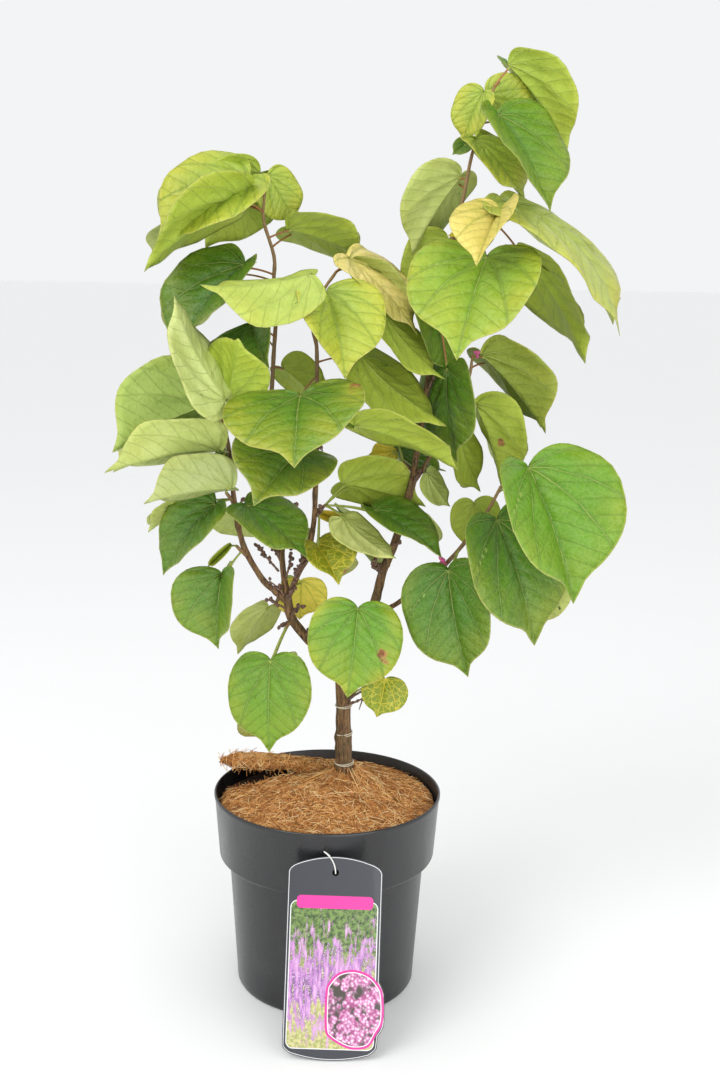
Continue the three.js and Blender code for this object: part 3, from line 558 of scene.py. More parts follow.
def leafMaterial():
    n = Nodes("leaf")
    s, v = leafSettings, veinSettings
    far = v["farTurned"]
    uv = n.node("ShaderNodeUVMap", uv_map="blade").outputs["UV"]
    tint = n.attribute("tint", "Color")
    upper, rim, turning = n.attribute("upper"), n.attribute("toRim"), n.attribute("turning")
    spot, size = n.attribute("spot"), n.attribute("size")
    # a little waver so no vein runs quite straight
    waver = n.node("ShaderNodeTexNoise", {"Vector": uv, "Scale": 7.0, "Detail": 3.0}).outputs["Color"]
    bent = n.vector("ADD", uv, n.vector("MULTIPLY", n.vector("SUBTRACT", waver, (0.5, 0.5, 0.5)), v["waver"]))
    blade = n.node("ShaderNodeSeparateXYZ", {0: bent})
    across = n.math("ABSOLUTE", n.minus(blade.outputs["X"], bladeBase[0]))
    along = n.minus(blade.outputs["Y"], bladeBase[1])
    reach = n.math("SQRT", n.plus(n.times(across, across), n.times(along, along)))
    angle = n.math("ARCTAN2", across, along)
    nearest = None
    for start, bend, width in v["main"]:
        course = n.minus(start, n.times(reach, start * bend))
        distance = n.times(n.math("ABSOLUTE", n.minus(angle, course)), reach)
        distance = n.math("DIVIDE", distance, n.minus(width, n.times(reach, width * v["taper"])))
        nearest = distance if nearest is None else n.math("MINIMUM", nearest, distance)
    mainVein = n.fade(nearest, 0.35, 1.0, 1, 0)
    inner, outer = (n.math("PINGPONG", n.minus(n.times(along, up), n.times(across, out)), gap)
                    for up, out, gap in (v["inner"], v["outer"]))
    inside = n.math("LESS_THAN", angle, n.minus(v["main"][1][0], n.times(reach, v["pairBend"])))
    side = n.node("ShaderNodeMix", {"Factor": inside, "A": outer, "B": inner},
                  data_type="FLOAT").outputs["Result"]
    sideVein = n.fade(side, 0.001, 0.0048, 1, 0)
    coarse, fine = (n.cells(scale, bent, "DISTANCE_TO_EDGE") for scale in v["netScales"])
    net = n.most(n.times(n.fade(coarse, 0.01, 0.06, 1, 0), 0.3), n.times(n.fade(fine, 0.02, 0.1, 1, 0), 0.24))
    # the net is broad and yellow on a leaf that has turned far
    meshes = n.cells(v["yellowNetScale"], bent, "DISTANCE_TO_EDGE")
    yellowNet = n.most(n.fade(meshes, 0.012, 0.078, 0.75, 0), n.fade(nearest, 0.8, 2.2, 1, 0))
    net = n.most(net, n.times(yellowNet, n.fade(turning, *far)))
    veins = n.most(mainVein, n.most(n.times(sideVein, 0.34), net))
    # green stays longest beside the veins
    beside = n.most(n.fade(nearest, 0.8, 6.0, 1, 0), n.times(n.fade(side, 0.002, 0.02, 1, 0), 0.34))
    clouds = n.noise(42, 4)
    grain = n.noise(190, 3)
    turned = n.times(turning, n.fade(n.minus(clouds, n.times(beside, 0.12)), 0.26, 0.66, 0.35, 1.0))
    # a leaf with a yellow net keeps more green in the meshes
    turned = n.times(turned, n.fade(turning, *far, 1.0, 0.28))
    color = n.mix(turned, tint, rgba(s["turnedTone"]))
    color = n.stain(n.fade(clouds, 0.32, 0.66, 0.0, 0.5), color, (216, 226, 180))
    color = n.stain(n.fade(grain, 0.35, 0.7, 0, 0.22), color, (196, 214, 176))
    darker = n.times(n.times(beside, n.fade(upper, 0, 1, 0.12, 0.42)), n.fade(turning, *far, 1, 0))
    color = n.stain(darker, color, (184, 206, 128))
    strength = n.plus(n.fade(upper, 0, 1, 0.55, 0.36), n.fade(turning, *far, 0, 0.45))
    color = n.mix(n.times(veins, strength), color,
                  n.mix(n.fade(turning, *far), rgba(s["veinTone"]), rgba(s["yellowVeinTone"])))
    color = n.mix(n.fade(rim, 0.975, 1.0, 0, 0.4), color, rgba(s["rimTone"]))
    specks = n.times(n.fade(n.cells(17.0, uv), 0.035, 0.06, 0.75, 0), n.fade(clouds, 0.5, 0.56))
    color = n.mix(specks, color, rgba(s["speckTone"]))
    dead = n.mix(n.fade(grain, 0.4, 0.6), *(rgba(tone) for tone in s["deadTones"]))
    color = n.mix(n.fade(n.plus(spot, n.times(n.noise(260, 3), 0.5)), 0.62, 0.9), color, dead)
    pucker = n.plus(n.fade(coarse, 0.0, 0.4, 0, 0.6), n.times(n.fade(fine, 0.0, 0.4), 0.1))
    pucker = n.plus(pucker, n.fade(side, 0.0, 0.05, 0, 0.9))
    pucker = n.times(pucker, n.fade(turning, *far, 1, 0.4))
    # veins stand out below and are sunk above
    height = n.plus(n.times(n.most(mainVein, n.times(sideVein, 0.7)), n.fade(upper, 0, 1, 1.0, -0.9)),
                    n.times(pucker, n.fade(upper, 0, 1, -0.45, 0.8)))
    # relief as steep on a small leaf as on a large one
    height = n.times(height, size)
    return n.finish(color, n.fade(upper, 0, 1, 0.62, 0.44), height, 0.0014, 0.7, Specular_IOR_Level=0.42)


# half outline of a blade of length 1: k 0 at the notch, 1 at the widest, 2 at the tip
def outlineAt(k):
    if k <= 1:
        return bezier(0, 0.05, 0.5, 0.5, k), bezier(0, -0.15, -0.2, 0.34, k)
    return bezier(0.5, 0.5, 0.13, 0, k - 1), bezier(0.34, 0.78, 0.8, 1, k - 1)


def bladeFrame(row):
    base, tip = seen(row[0:3]), seen(row[3:6])
    left, right, look = row[6:9]
    length = np.linalg.norm(tip - base)
    along = (tip - base) / length
    toViewer = unit(viewer - base)
    facing = unit(toViewer - along * np.dot(toViewer, along))
    across = np.cross(facing, along)
    half = max(0.47 * length, left, right)       # nearly as wide as it is long, or wider
    up = -1 if look in leafSettings["undersides"] else 1
    # a half that looks narrower than it is stands at an angle to the view
    leftAngle, rightAngle = math.acos(left / half), math.acos(right / half)
    if leftAngle > rightAngle:
        rightAngle = -rightAngle
    elif rightAngle > leftAngle:
        leftAngle = -leftAngle
    sides = [sign * across * math.cos(a) + facing * math.sin(a)
             for sign, a in ((1, up * leftAngle), (-1, up * rightAngle))]
    upper = unit(np.cross(along, sides[0] - sides[1]))
    if np.dot(upper, facing) * up < 0:
        upper = -upper
    bow = row[9] if len(row) > 9 else leafSettings["droop"]
    return {"base": base, "length": length, "along": along, "sides": sides, "upper": upper, "half": half,
            "bow": bow}


def swelling(u, s):       # 0 on a main vein, 1 half way to the next
    reach = math.hypot(u, s)
    angle = math.atan2(abs(u), s)
    lines = [a * (1 - 0.4 * reach) for a in veinSettings["swellBetween"]]
    for low, high in zip(lines, lines[1:]):
        if low <= angle < high:
            return math.sin(math.pi * (angle - low) / (high - low))
    return 0.0


# one leaf blade: a thin closed sheet on rays from the base, with its values per point
def bladeMesh(row, number, label):
    f = bladeFrame(row)
    rnd = random.Random(number)
    length = f["length"]
    normals = []
    for side in f["sides"]:
        normal = unit(np.cross(f["along"], side))
        normals.append(normal if np.dot(normal, f["upper"]) > 0 else -normal)
    rays = leafSettings["rays"]
    rings = leafSettings["rings"]
    ks = [2 * (i / (rays - 1)) ** 1.05 for i in range(rays)]
    fan = [(0, k) for k in ks] + [(1, k) for k in ks[-2::-1]]
    phase = [rnd.uniform(0, 6.28) for _ in range(3)]
    shrug = rnd.uniform(0.5, 1.5)
    # where each point lies: out, along, which half, how near the rim, and where on the outline
    spots = [(0.0, 0.0, 0, 0.0, 2.0)]
    for side, k in fan:
        u, s = outlineAt(k)
        # the tip is drawn out
        u *= 1 - 0.3 * math.sin(math.pi * ease((k - 1.5) / 0.5)) if k > 1.5 else 1
        # a slightly uneven margin
        swell = 1 + 0.014 * math.sin(5 * k + phase[0]) + 0.008 * math.sin(13 * k + phase[1] + side)
        for j in range(1, rings + 1):
            t = (j / rings) ** 0.9
            spots.append((u * t * (swell if k < 1.9 else 1), s * t, side, t, k))
    fold = max(0.4, np.dot(f["upper"], normals[0]))
    upperPoints, lowerPoints = [], []
    for u, s, side, t, k in spots:
        normal = f["upper"] / fold if u < 0.02 else normals[side]
        lift = (-leafSettings["cup"] * shrug * (u / 0.5) ** 2
                + leafSettings["wave"] * t ** 3 * math.sin(7 * k + phase[2] + 2 * side) * min(1, (2 - k) * 3)
                + 0.006 * math.sin(9 * u / 0.5 + 6 * s + phase[0]) * t
                + leafSettings["quilt"] * swelling(u, s) * min(1, t * 2.5) * (1 - 0.6 * t))
        point = (f["base"] + f["along"] * s * length + f["sides"][side] * 2 * u * f["half"]
                 + f["upper"] * (4 * f["bow"] * s * (1 - s) + lift) * length)
        upperPoints.append(point + normal * leafSettings["thickness"] / 2)
        lowerPoints.append(point - normal * leafSettings["thickness"] / 2)
    count = len(spots)
    top = []
    for i in range(len(fan) - 1):
        a, b = 1 + i * rings, 1 + (i + 1) * rings
        top.append((0, a, b))
        top += [(a + j, a + j + 1, b + j + 1, b + j) for j in range(rings - 1)]
    # the seventh and eighth rays tell which way round the faces have to run
    probe = np.cross(upperPoints[7 * rings] - upperPoints[0], upperPoints[8 * rings] - upperPoints[0])
    flip = np.dot(probe, f["upper"]) < 0
    if flip:
        top = [face[::-1] for face in top]
    faces = top + [tuple(i + count for i in face[::-1]) for face in top]
    last = 1 + (len(fan) - 1) * rings
    edge = [1 + i * rings + rings - 1 for i in range(len(fan))]
    border = [0] + list(range(1, rings)) + edge + list(range(last + rings - 2, last - 1, -1))
    for a, b in zip(border, border[1:] + border[:1]):
        face = (b, a, a + count, b + count)
        faces.append(face[::-1] if flip else face)
    return upperPoints + lowerPoints, faces, bladeValues(row[8], number, label, length, spots, rnd)


# what the leaf material reads, for the upper points and then the lower ones
def bladeValues(look, number, label, length, spots, rnd):
    s = leafSettings
    shown = linear(s["ownTones"].get(label, s["tones"][look]))
    # the side that shows in the photo has its given colour, and the other side a partner to it
    if look in s["undersides"]:
        upperTone, lowerTone = linear(s["upperTone"]), shown
    else:
        share = 0.75 if look in "yav" else 0.45
        upperTone, lowerTone = shown, share * shown + (1 - share) * linear(s["underTone"])
    dim = rnd.uniform(0.93, 1.07)
    rimStart = rnd.uniform(0.25, 0.55)
    most = s["ownTurned"].get(label, s["turned"][look])
    marks = s["marks"].get(label, [])
    turning, spot = [], []
    for u, along, side, t, k in spots:
        patch = noise.noise(Vector((u * 4 + side * 3, along * 4, number * 1.7))) + 0.5
        # leaves turn from the margin inwards
        fromRim = 0.2 + 0.8 * ease((t - rimStart) / (1 - rimStart))
        amount = 1 if look == "v" else fromRim * (0.55 + patch * 0.9)
        turning.append(min(1 if look == "v" else 0.6, most * amount))
        hand = -u if side else u
        spot.append(max([math.exp(-((hand - mu) ** 2 + (along - ms) ** 2) / size ** 2)
                         for mu, ms, size in marks] or [0]))
    uv = [(bladeBase[0] + (-u if side else u), bladeBase[1] + along) for u, along, side, t, k in spots]
    count = len(spots)
    return {"uv": uv * 2, "toRim": [t for u, along, side, t, k in spots] * 2,
            "tint": [upperTone * dim] * count + [lowerTone * dim] * count,
            "upper": [1.0] * count + [0.0] * count, "turning": turning * 2, "spot": spot * 2,
            "size": min(1, length / 110)}


# the leaf's stalk, from the nearest wood, lower wood being preferred, to just inside the blade
def petiolePath(row, wood):
    f = bladeFrame(row)
    base = f["base"]
    cost = np.linalg.norm(wood[:, :3] - base, axis=1) + 0.25 * (wood[:, 2] - base[2])
    foot = wood[np.argmin(cost)][:3]
    end = base + f["along"] * 3
    middle = (foot + end) / 2
    middle[2] += 0.08 * np.linalg.norm(end - foot)
    # thicker at the twig and swollen where it joins the blade
    return arcPath(foot, middle, end, 12,
                   lambda t: 0.95 + 0.4 * ease(1 - t * 8) + 0.55 * ease((t - 0.84) / 0.08))


# a leaf on the far side of the twig, hidden behind a front leaf
def backLeaf(row, depth, draw):
    size = leafSettings["backSize"]
    middle = [(row[i] + row[i + 3]) / 2 for i in range(3)]
    shrunk = [middle[i % 3] + (row[i] - middle[i % 3]) * size for i in range(6)]
    start = depth + leafSettings["backDistance"] + 14 * draw()
    fall = min(50, abs(row[5] - row[2]) + 8 + 18 * draw())
    bow = row[9] if len(row) > 9 else leafSettings["droop"]
    return [shrunk[0], shrunk[1], start, shrunk[3], shrunk[4], start + fall, row[6] * size, row[7] * size,
            "p", bow]


# the same run of numbers as the solids were grown with
def sourceRandom(seed):
    state = seed

    def following():
        nonlocal state
        state = (state * 1664525 + 1013904223) % 4294967296
        return state / 4294967296
    return following


def shootMaterial():
    n = Nodes("shoot")
    tint = n.attribute("tint", "Color")
    grain = n.noise(500, 3)
    return n.finish(n.stain(n.fade(grain, 0.4, 0.7, 0, 0.4), tint, (150, 130, 120)), 0.55, grain, 0.0003, 0.5)


twigSettings = {
    "bark": (128, 100, 66),
    "young": (150, 120, 76),
    "petiole": (162, 110, 64),
    "joint": (160, 172, 78),
    "greenBelow": 540,       # stalks below this height are green
    "sides": 10,
    "stalkSides": 8,
}


def blend(amount, a, b):
    return a * (1 - amount) + b * amount


def growMass(name, leafLook, draw):
    mass = masses[name]
    tones = {key: linear(twigSettings[key]) for key in ("bark", "young", "petiole", "joint")}
    leaves, shoots = Parts(), Parts()
    paths = [smoothPath(places, 4) for places in mass["wood"]]
    for path in paths:
        shape = tubeMesh(path, twigSettings["sides"],
                         lambda i, angle: 1 + 0.16 * math.sin(i * 1.9) ** 8 + 0.05 * math.sin(3 * angle + i))
        near = np.linspace(0, 1, len(path)).repeat(twigSettings["sides"])[:, None]
        shoots.add(*shape, tint=blend(near, tones["bark"], tones["young"]))
    wood = np.vstack([path[3:] for path in paths])
    depth = sum(p[2] for p in mass["wood"][0]) / len(mass["wood"][0])
    rows = [(row, f"{name} {i}") for i, row in enumerate(mass["leaves"])]
    for i, row in enumerate(mass["leaves"]):
        back = backLeaf(row, depth, draw)
        if bladeFrame(back)["length"] > leafSettings["smallestBack"]:
            rows.append((back, f"{name} back {i}"))
    number = sum(ord(c) for c in name)
    for row, label in rows:
        number += 1
        if label in noRoom:
            continue
        points, faces, values = bladeMesh(row, number, label)
        leaves.add(points, faces, **values)
        path = petiolePath(row, wood)
        near = np.array([ease((k - 0.8) / 0.1) for k in np.linspace(0, 1, len(path))])
        # red-brown at the top of the plant, green low down
        ripe = ease((path[0][2] - twigSettings["greenBelow"]) / 60)
        shoots.add(*tubeMesh(path, twigSettings["stalkSides"]),
                   tint=blend(near.repeat(twigSettings["stalkSides"])[:, None],
                              blend(ripe, tones["joint"], tones["petiole"]), tones["joint"]))
    leafObject = addMesh(name + "_blades", leaves.points, leaves.faces, [leafLook])
    for value in ("toRim", "upper", "turning", "spot", "size"):
        addPointFloat(leafObject, value, leaves.column(value))
    addPointColor(leafObject, "tint", leaves.column("tint"))
    addPointUv(leafObject, "blade", leaves.column("uv"))
    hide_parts(name)
    return shoots


leafLook, shootLook = leafMaterial(), shootMaterial()
allShoots = Parts()
draw = sourceRandom(leafSettings["seed"])
for name in masses:
    shoots = growMass(name, leafLook, draw)
    allShoots.add(shoots.points, shoots.faces, tint=shoots.column("tint"))
shootObject = addMesh("twigs_and_stalks", allShoots.points, allShoots.faces, [shootLook])
addPointColor(shootObject, "tint", allShoots.column("tint"))
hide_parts(*masses)


stemSettings = {
    "sides": 28,
    "steps": 14,            # rings between two given points
    "ridges": 0.07,
    "knots": 0.16,
    "ringsPerKnot": 11,
    "seed": 3,
    "bark": ((0.33, (38, 25, 16)), (0.47, (98, 68, 42)), (0.68, (158, 122, 80))),
    "patches": (88, 76, 46),
    "pores": (200, 172, 124),
}


def barkMaterial():
    n = Nodes("bark")
    grain = n.noise(1, 6, 0.65, n.stretched((420, 420, 60)))
    patches = n.noise(70, 4)
    pores = n.cells(1.0, n.stretched((330, 330, 520)))
    color = n.ramp(grain, *stemSettings["bark"])
    color = n.mix(n.fade(patches, 0.45, 0.65, 0, 0.55), color, rgba(stemSettings["patches"]))
    color = n.mix(n.fade(pores, 0.10, 0.2, 0.8, 0), color, rgba(stemSettings["pores"]))
    return n.finish(color, 0.78, n.plus(grain, n.fade(pores, 0.1, 0.25, 0.5, 0)), 0.0012, 0.9)


# how far a stem's skin stands out at ring i: low ridges, flutes, and knots at the given rings
def stemRelief(i, angle, offset, knots):
    place = Vector((math.cos(angle) * 1.1, math.sin(angle) * 1.1, i * 0.10 + offset))
    ridge = noise.noise(place * 1.7) * stemSettings["ridges"] * 1.6
    ridge += noise.noise(Vector((math.cos(angle) * 3, math.sin(angle) * 3, i * 0.35 + offset))) * 0.05
    knot = sum(math.exp(-((i - k) / 1.6) ** 2) for k in knots)
    flute = stemSettings["ridges"] * math.cos(3 * angle + offset + i * 0.01)
    return 1 + ridge + flute * 0.6 + stemSettings["knots"] * knot * (0.6 + 0.4 * math.cos(angle + offset))


stems = Parts()
rnd = random.Random(stemSettings["seed"])
for name, places in limbs.items():
    path = smoothPath(places, stemSettings["steps"])
    if name == "trunk":
        path[-1][3] *= 0.9       # so that its top stays inside the boughs
    knots = [rnd.uniform(0, len(path)) for _ in range(max(2, len(path) // stemSettings["ringsPerKnot"]))]
    offset = rnd.uniform(0, 50)
    stems.add(*tubeMesh(path, stemSettings["sides"], lambda i, angle: stemRelief(i, angle, offset, knots)))
stemObject = addMesh("stems", stems.points, stems.faces, [barkMaterial()])
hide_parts(*limbs)
print("stems:", len(stems.faces), "faces")


budSettings = {
    # a short spur: its foot on the stem and its end, as [across, up, depth], then how many buds
    "spurs": [[-51, 430, 0, -73, 455, -6, 12], [-49, 440, 2, -58, 457, -2, 7],
              [-47, 446, 2, -69, 473, 0, 6], [-45, 405, -5, -59, 419, -12, 8],
              [-44, 424, -4, -39, 450, -10, 9], [-40, 412, -7, -30, 436, -12, 9],
              [-30, 432, -8, -26, 448, -14, 7], [-28, 436, -8, -12, 451, -14, 7],
              [-44, 392, -7, -62, 401, -12, 6], [-24, 364, -7, -12, 382, -14, 3],
              [-36, 381, -7, -50, 374, -14, 7], [-38, 384, -6, -28, 396, -12, 7],
              [-41, 398, -6, -37, 412, -12, 6], [-49, 470, 3, -34, 497, -2, 8],
              [-16, 484, -11, -10, 495, -16, 5], [-94, 486, -17, -88, 500, -22, 4],
              [50, 424, -1, 44, 446, -6, 9], [52, 432, 0, 42, 438, -6, 5], [62, 458, 1, 68, 462, -5, 3],
              [80, 520, 5, 86, 530, 0, 3], [17, 292, -7, 38, 302, -14, 4],
              [-58, 560, 14, -64, 574, 10, 4], [-52, 520, 8, -46, 534, 4, 4],
              [-15, 540, -20, -9, 552, -24, 4], [92, 610, 8, 97, 622, 3, 4]],
    # where a cluster of them is, and a bud's length
    "pinkBuds": [[112, 443, -19, 7], [138, 647, 18, 5]],
    "budsInCluster": 7,
    # a broken shoot: its foot and its end, each with a radius
    "stubs": [[-13, 351, -5, 3.0, -20, 372, -9, 3.4], [18, 296, -4, 1.5, 36, 309, -12, 1.1],
              [36, 309, -12, 1.1, 31, 288, -16, 0.5], [33, 306, -11, 0.8, 43, 297, -15, 0.4]],
    "spurTone": (96, 68, 52),
    "budTone": (74, 44, 38),
    "pinkTone": (206, 74, 146),
    "stubTone": (78, 58, 46),
    "seed": 9,
}


# a pointed bud with overlapping scales as shallow steps
def budShape(at, direction, length, width):
    rings = [[*(at + direction * length * t),
              width * math.sin(math.pi * min(1, 0.12 + t * 0.88)) ** 0.8 * (1 + 0.12 * ((t * 3) % 1)) + 0.05]
             for t in np.linspace(0, 1, 9)]
    return tubeMesh(np.array(rings), 8)


def budMaterial():
    n = Nodes("bud")
    tint = n.attribute("tint", "Color")
    scales = n.noise(900, 3)
    color = n.mix(n.fade(scales, 0.4, 0.65, 0, 0.5), tint, n.mix(1, tint, rgba((250, 214, 180)), "SCREEN"))
    return n.finish(n.mix(0.7, color, tint), 0.6, scales, 0.0004, 0.7)


buds = Parts()
rnd = random.Random(budSettings["seed"])
for x0, z0, y0, x1, z1, y1, count in budSettings["spurs"]:
    foot, end = seen([x0, z0, y0]), seen([x1, z1, y1])
    middle = (foot + end) / 2 + jitter(rnd, 1.2)
    path = arcPath(foot, middle, end, 14, lambda t: 1.15 - 0.5 * t + 0.25 * math.sin(t * 20) ** 4)
    buds.add(*tubeMesh(path, 8), tint=linear(budSettings["spurTone"]))
    along = unit(end - foot)
    for i in range(count):
        t = 0.35 + 0.65 * i / max(1, count - 1)
        at = path[round(t * 13)][:3] + jitter(rnd, 0.7)
        out = unit(jitter(rnd, 1) - along * 0.2) + along * (1.2 if t > 0.95 else 0.7)
        buds.add(*budShape(at, unit(out), rnd.uniform(3.6, 5.8), rnd.uniform(1.4, 2.1)),
                 tint=linear(budSettings["budTone"]) * rnd.uniform(0.6, 1.5))
for x, z, y, length in budSettings["pinkBuds"]:
    for _ in range(budSettings["budsInCluster"]):
        out = unit(jitter(rnd, 0.8) + np.array([-0.2, -0.5, 0.3]))
        buds.add(*budShape(seen([x, z, y]), out, length * rnd.uniform(0.7, 1.1), length * 0.25),
                 tint=linear(budSettings["pinkTone"]) * rnd.uniform(0.8, 1.2))
for x0, z0, y0, r0, x1, z1, y1, r1 in budSettings["stubs"]:
    middle = [(x0 + x1) / 2 + rnd.uniform(-2, 2), (z0 + z1) / 2, (y0 + y1) / 2, (r0 + r1) / 2]
    path = smoothPath([[x0, z0, y0, r0], middle, [x1, z1, y1, r1]], 5)
    buds.add(*tubeMesh(path, 10, lambda i, angle: 1 + 0.12 * math.sin(i * 2.2 + angle)),
             tint=linear(budSettings["stubTone"]))
budObject = addMesh("buds_and_stubs", buds.points, buds.faces, [budMaterial()])
addPointColor(budObject, "tint", buds.column("tint"))


threadSettings = {
    "heights": [231, 262, 291],
    "radius": 0.42,
    "gap": 0.7,              # from the bark to the thread's middle
    "rise": 1.1,             # how far a wrap climbs and falls again
    "spacing": 0.9,
    "tones": ((0.3, (196, 186, 160)), (0.7, (236, 230, 210))),
}


# pale threads wound twice round the trunk
threads = Parts()
trunkPath = smoothPath(limbs["trunk"], 10)
for height in threadSettings["heights"]:
    x, y, z, radius = trunkPath[np.argmin(abs(trunkPath[:, 2] - height))]
    radius += threadSettings["gap"]
    for wrap in range(2):
        path = [[x + radius * math.cos(a), y + radius * math.sin(a),
                 z + wrap * threadSettings["spacing"] + threadSettings["rise"] * math.sin(a + wrap),
                 threadSettings["radius"]] for a in np.linspace(0, 2 * math.pi, 33)]
        threads.add(*tubeMesh(np.array(path), 6))
n = Nodes("thread")
threadLook = n.finish(n.ramp(n.noise(1500, 2), *threadSettings["tones"]), 0.8)
threadObject = addMesh("threads", threads.points, threads.faces, [threadLook])
print("buds and threads:", len(buds.faces) + len(threads.faces), "faces")


potSettings = {
    "height": 203,
    "rim": 115.3,
    "foot": 91.3,
    "wall": 2.4,
    "collarFoot": 110,
    "collarHeight": 63,
    "stepHeight": 10,
    "bodyTop": 99.5,
    "floor": 3,
    "steps": 144,
    "plastic": ((0.35, (20, 20, 22)), (0.65, (30, 31, 34))),
    "dust": (62, 62, 62),
    "compost": ((0.0, (34, 24, 18)), (0.7, (74, 54, 38))),
}


def potMaterial():
    n = Nodes("pot_plastic")
    scuffs = n.noise(1, 5, 0.6, n.stretched((30, 30, 7)))
    grain = n.noise(900, 2)
    dust = n.fade(n.noise(16, 5), 0.5, 0.72, 0, 0.30)
    color = n.mix(dust, n.ramp(scuffs, *potSettings["plastic"]), rgba(potSettings["dust"]))
    return n.finish(color, n.fade(scuffs, 0.3, 0.7, 0.24, 0.38), grain, 0.0002, 0.3,
                    Specular_IOR_Level=0.65)


# radius and height of the pot's wall, from under its foot over the rim to the middle of its floor
def potProfile():
    p = potSettings
    foot, body, collar, rim, top = p["foot"], p["bodyTop"], p["collarFoot"], p["rim"], p["height"]
    collarBase = top - p["collarHeight"]
    stepBase = collarBase - p["stepHeight"]
    w = p["wall"]
    outer = [[0, 0.8], [foot - 12, 0.8], [foot - 11, 0], [foot - 3, 0], [foot - 1, 0.8],
             [foot, 2.6], [foot + 0.25, 8], [body - 0.1, stepBase - 1], [body, stepBase]]
    # rounded step out to the collar
    reach = collar - body
    outer += [[body + reach * (1 - math.cos(a)) * 0.55, stepBase + p["stepHeight"] * 0.55 * math.sin(a)]
              for a in np.linspace(0.2, 1.35, 5)]
    outer += [[collar - reach * 0.42 * (1 - math.sin(a)), collarBase - p["stepHeight"] * 0.42 * math.cos(a)]
              for a in np.linspace(0.2, 1.5, 6)]
    outer += [[rim - 0.9, top - 5.5], [rim - 0.2, top - 4.2], [rim, top - 2.8], [rim, top - 1.1],
              [rim - 0.5, top - 0.3], [rim - 1.2, top], [rim - 1.9, top - 0.3], [rim - w, top - 1.2]]
    inner = [[collar - w, collarBase + 1], [body - w, stepBase + 1], [foot - w, p["floor"] + 2],
             [foot - w - 2, p["floor"]], [0, p["floor"]]]
    return outer + inner


pot = addMesh("grower_pot", *revolve(potProfile(), potSettings["steps"]), [potMaterial()])
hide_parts("pot")

n = Nodes("compost")
crumbs = n.cells(260.0)
compostLook = n.finish(n.ramp(crumbs, *potSettings["compost"]), 0.95, crumbs, 0.003, 1.0)
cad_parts["soil"].data.materials.clear()
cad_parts["soil"].data.materials.append(compostLook)
print("pot: done")


coirSettings = {
    "radius": 109,
    "thickness": 9,
    "innerThickness": 6.5,
    "hole": 12.6,
    "trunkX": 17,
    "slitStart": 174,      # degrees round from +X
    "slitEnd": 164,
    "flapSweep": 62,
    "flapLift": 27,
    "flapReach": 9,
    "soilCrown": 206.7,
    "soilEdge": 186.5,
    "crownFlat": 32,
    "turns": 180,
    "rows": 34,
    "bump": 1.5,
    "fibres": 11000,
    "fibreLength": 17,
    "fibreRadius": 0.34,
    "fibreReach": 100,     # from the pot's axis
    "flapLevel": 211,      # above it fibres may stand out past the rim
    "collar": 8.5,         # how far the disc is drawn up round the trunk
    "strands": 700,
    "strandEnd": 11.6,     # how near the trunk's middle strands end, and how low at least
    "strandLevel": 217,
    "strandSeed": 12,
    "tones": ((0.32, (96, 56, 24)), (0.5, (172, 112, 56)), (0.68, (230, 170, 100))),
    "lightTone": (222, 168, 110),
    "fibreTones": ((0.0, (138, 84, 38)), (0.4, (216, 150, 82)), (0.75, (250, 196, 122)),
                   (1.0, (255, 234, 184))),
}


def soilHeight(r):
    c = coirSettings
    fall = ease((r - c["crownFlat"]) / (c["radius"] - c["crownFlat"])) ** 0.8
    return c["soilCrown"] - (c["soilCrown"] - c["soilEdge"]) * fall


# the disc runs once round the trunk, from one side of its slit to the other, where its end is lifted
def coirSurface():
    c = coirSettings
    span = 360 - (c["slitStart"] - c["slitEnd"])
    upper, lower = [], []
    for i in range(c["turns"] + 1):
        degrees = c["slitStart"] + span * i / c["turns"]
        angle = math.radians(degrees)
        lift = ease(1 - (c["slitStart"] + span - degrees) / c["flapSweep"])
        dx, dy = math.cos(angle), math.sin(angle)
        rim = c["radius"] + c["flapReach"] * lift ** 3 + 1.2 * noise.noise(Vector((dx * 9, dy * 9, 0)))
        reach = -c["trunkX"] * dx + math.sqrt(rim * rim - (c["trunkX"] * dy) ** 2)
        for j in range(c["rows"] + 1):
            part = j / c["rows"]
            distance = c["hole"] + (reach - c["hole"]) * part
            x, y = c["trunkX"] + dx * distance, dy * distance
            base = soilHeight(math.hypot(x, y)) + 1.6 + c["flapLift"] * lift * part ** 0.9
            bump = c["bump"] * (noise.noise(Vector((x, y, 3)) / 14) + 0.6 * noise.noise(Vector((x, y, 9)) / 5)
                                + 0.35 * noise.noise(Vector((x, y, 5)) / 2))
            collar = c["collar"] * math.exp(-((distance - c["hole"]) / 15) ** 2)
            # full a little way out, and rounded off at the rim
            thickness = (c["innerThickness"] + (c["thickness"] - c["innerThickness"]) * ease(part * 2)
                         - 3.5 * ease((part - 0.9) / 0.1))
            lower.append((x, y, base))
            upper.append((x, y, base + thickness + bump + collar - 2))
    rows = c["rows"] + 1
    count = len(upper)
    faces = []
    for i in range(c["turns"]):
        a, b = i * rows, (i + 1) * rows
        for j in range(c["rows"]):
            faces.append((a + j, a + j + 1, b + j + 1, b + j))
            faces.append((a + j + count, b + j + count, b + j + 1 + count, a + j + 1 + count))
        faces.append((a + c["rows"] + count, b + c["rows"] + count, b + c["rows"], a + c["rows"]))
        faces.append((a + count, a, b, b + count))
    last = c["turns"] * rows
    for j in range(c["rows"]):
        faces.append((j + count, j + 1 + count, j + 1, j))
        faces.append((last + j + count, last + j, last + j + 1, last + j + 1 + count))
    return upper + lower, faces


def coirMaterial():
    n = Nodes("coir")
    strands = n.noise(300, 4, 0.7)
    color = n.mix(n.fade(n.noise(28, 3), 0.35, 0.7, 0, 0.25), n.ramp(strands, *coirSettings["tones"]),
                  rgba(coirSettings["lightTone"]))
    return n.finish(color, 0.9, strands, 0.002, 0.9)


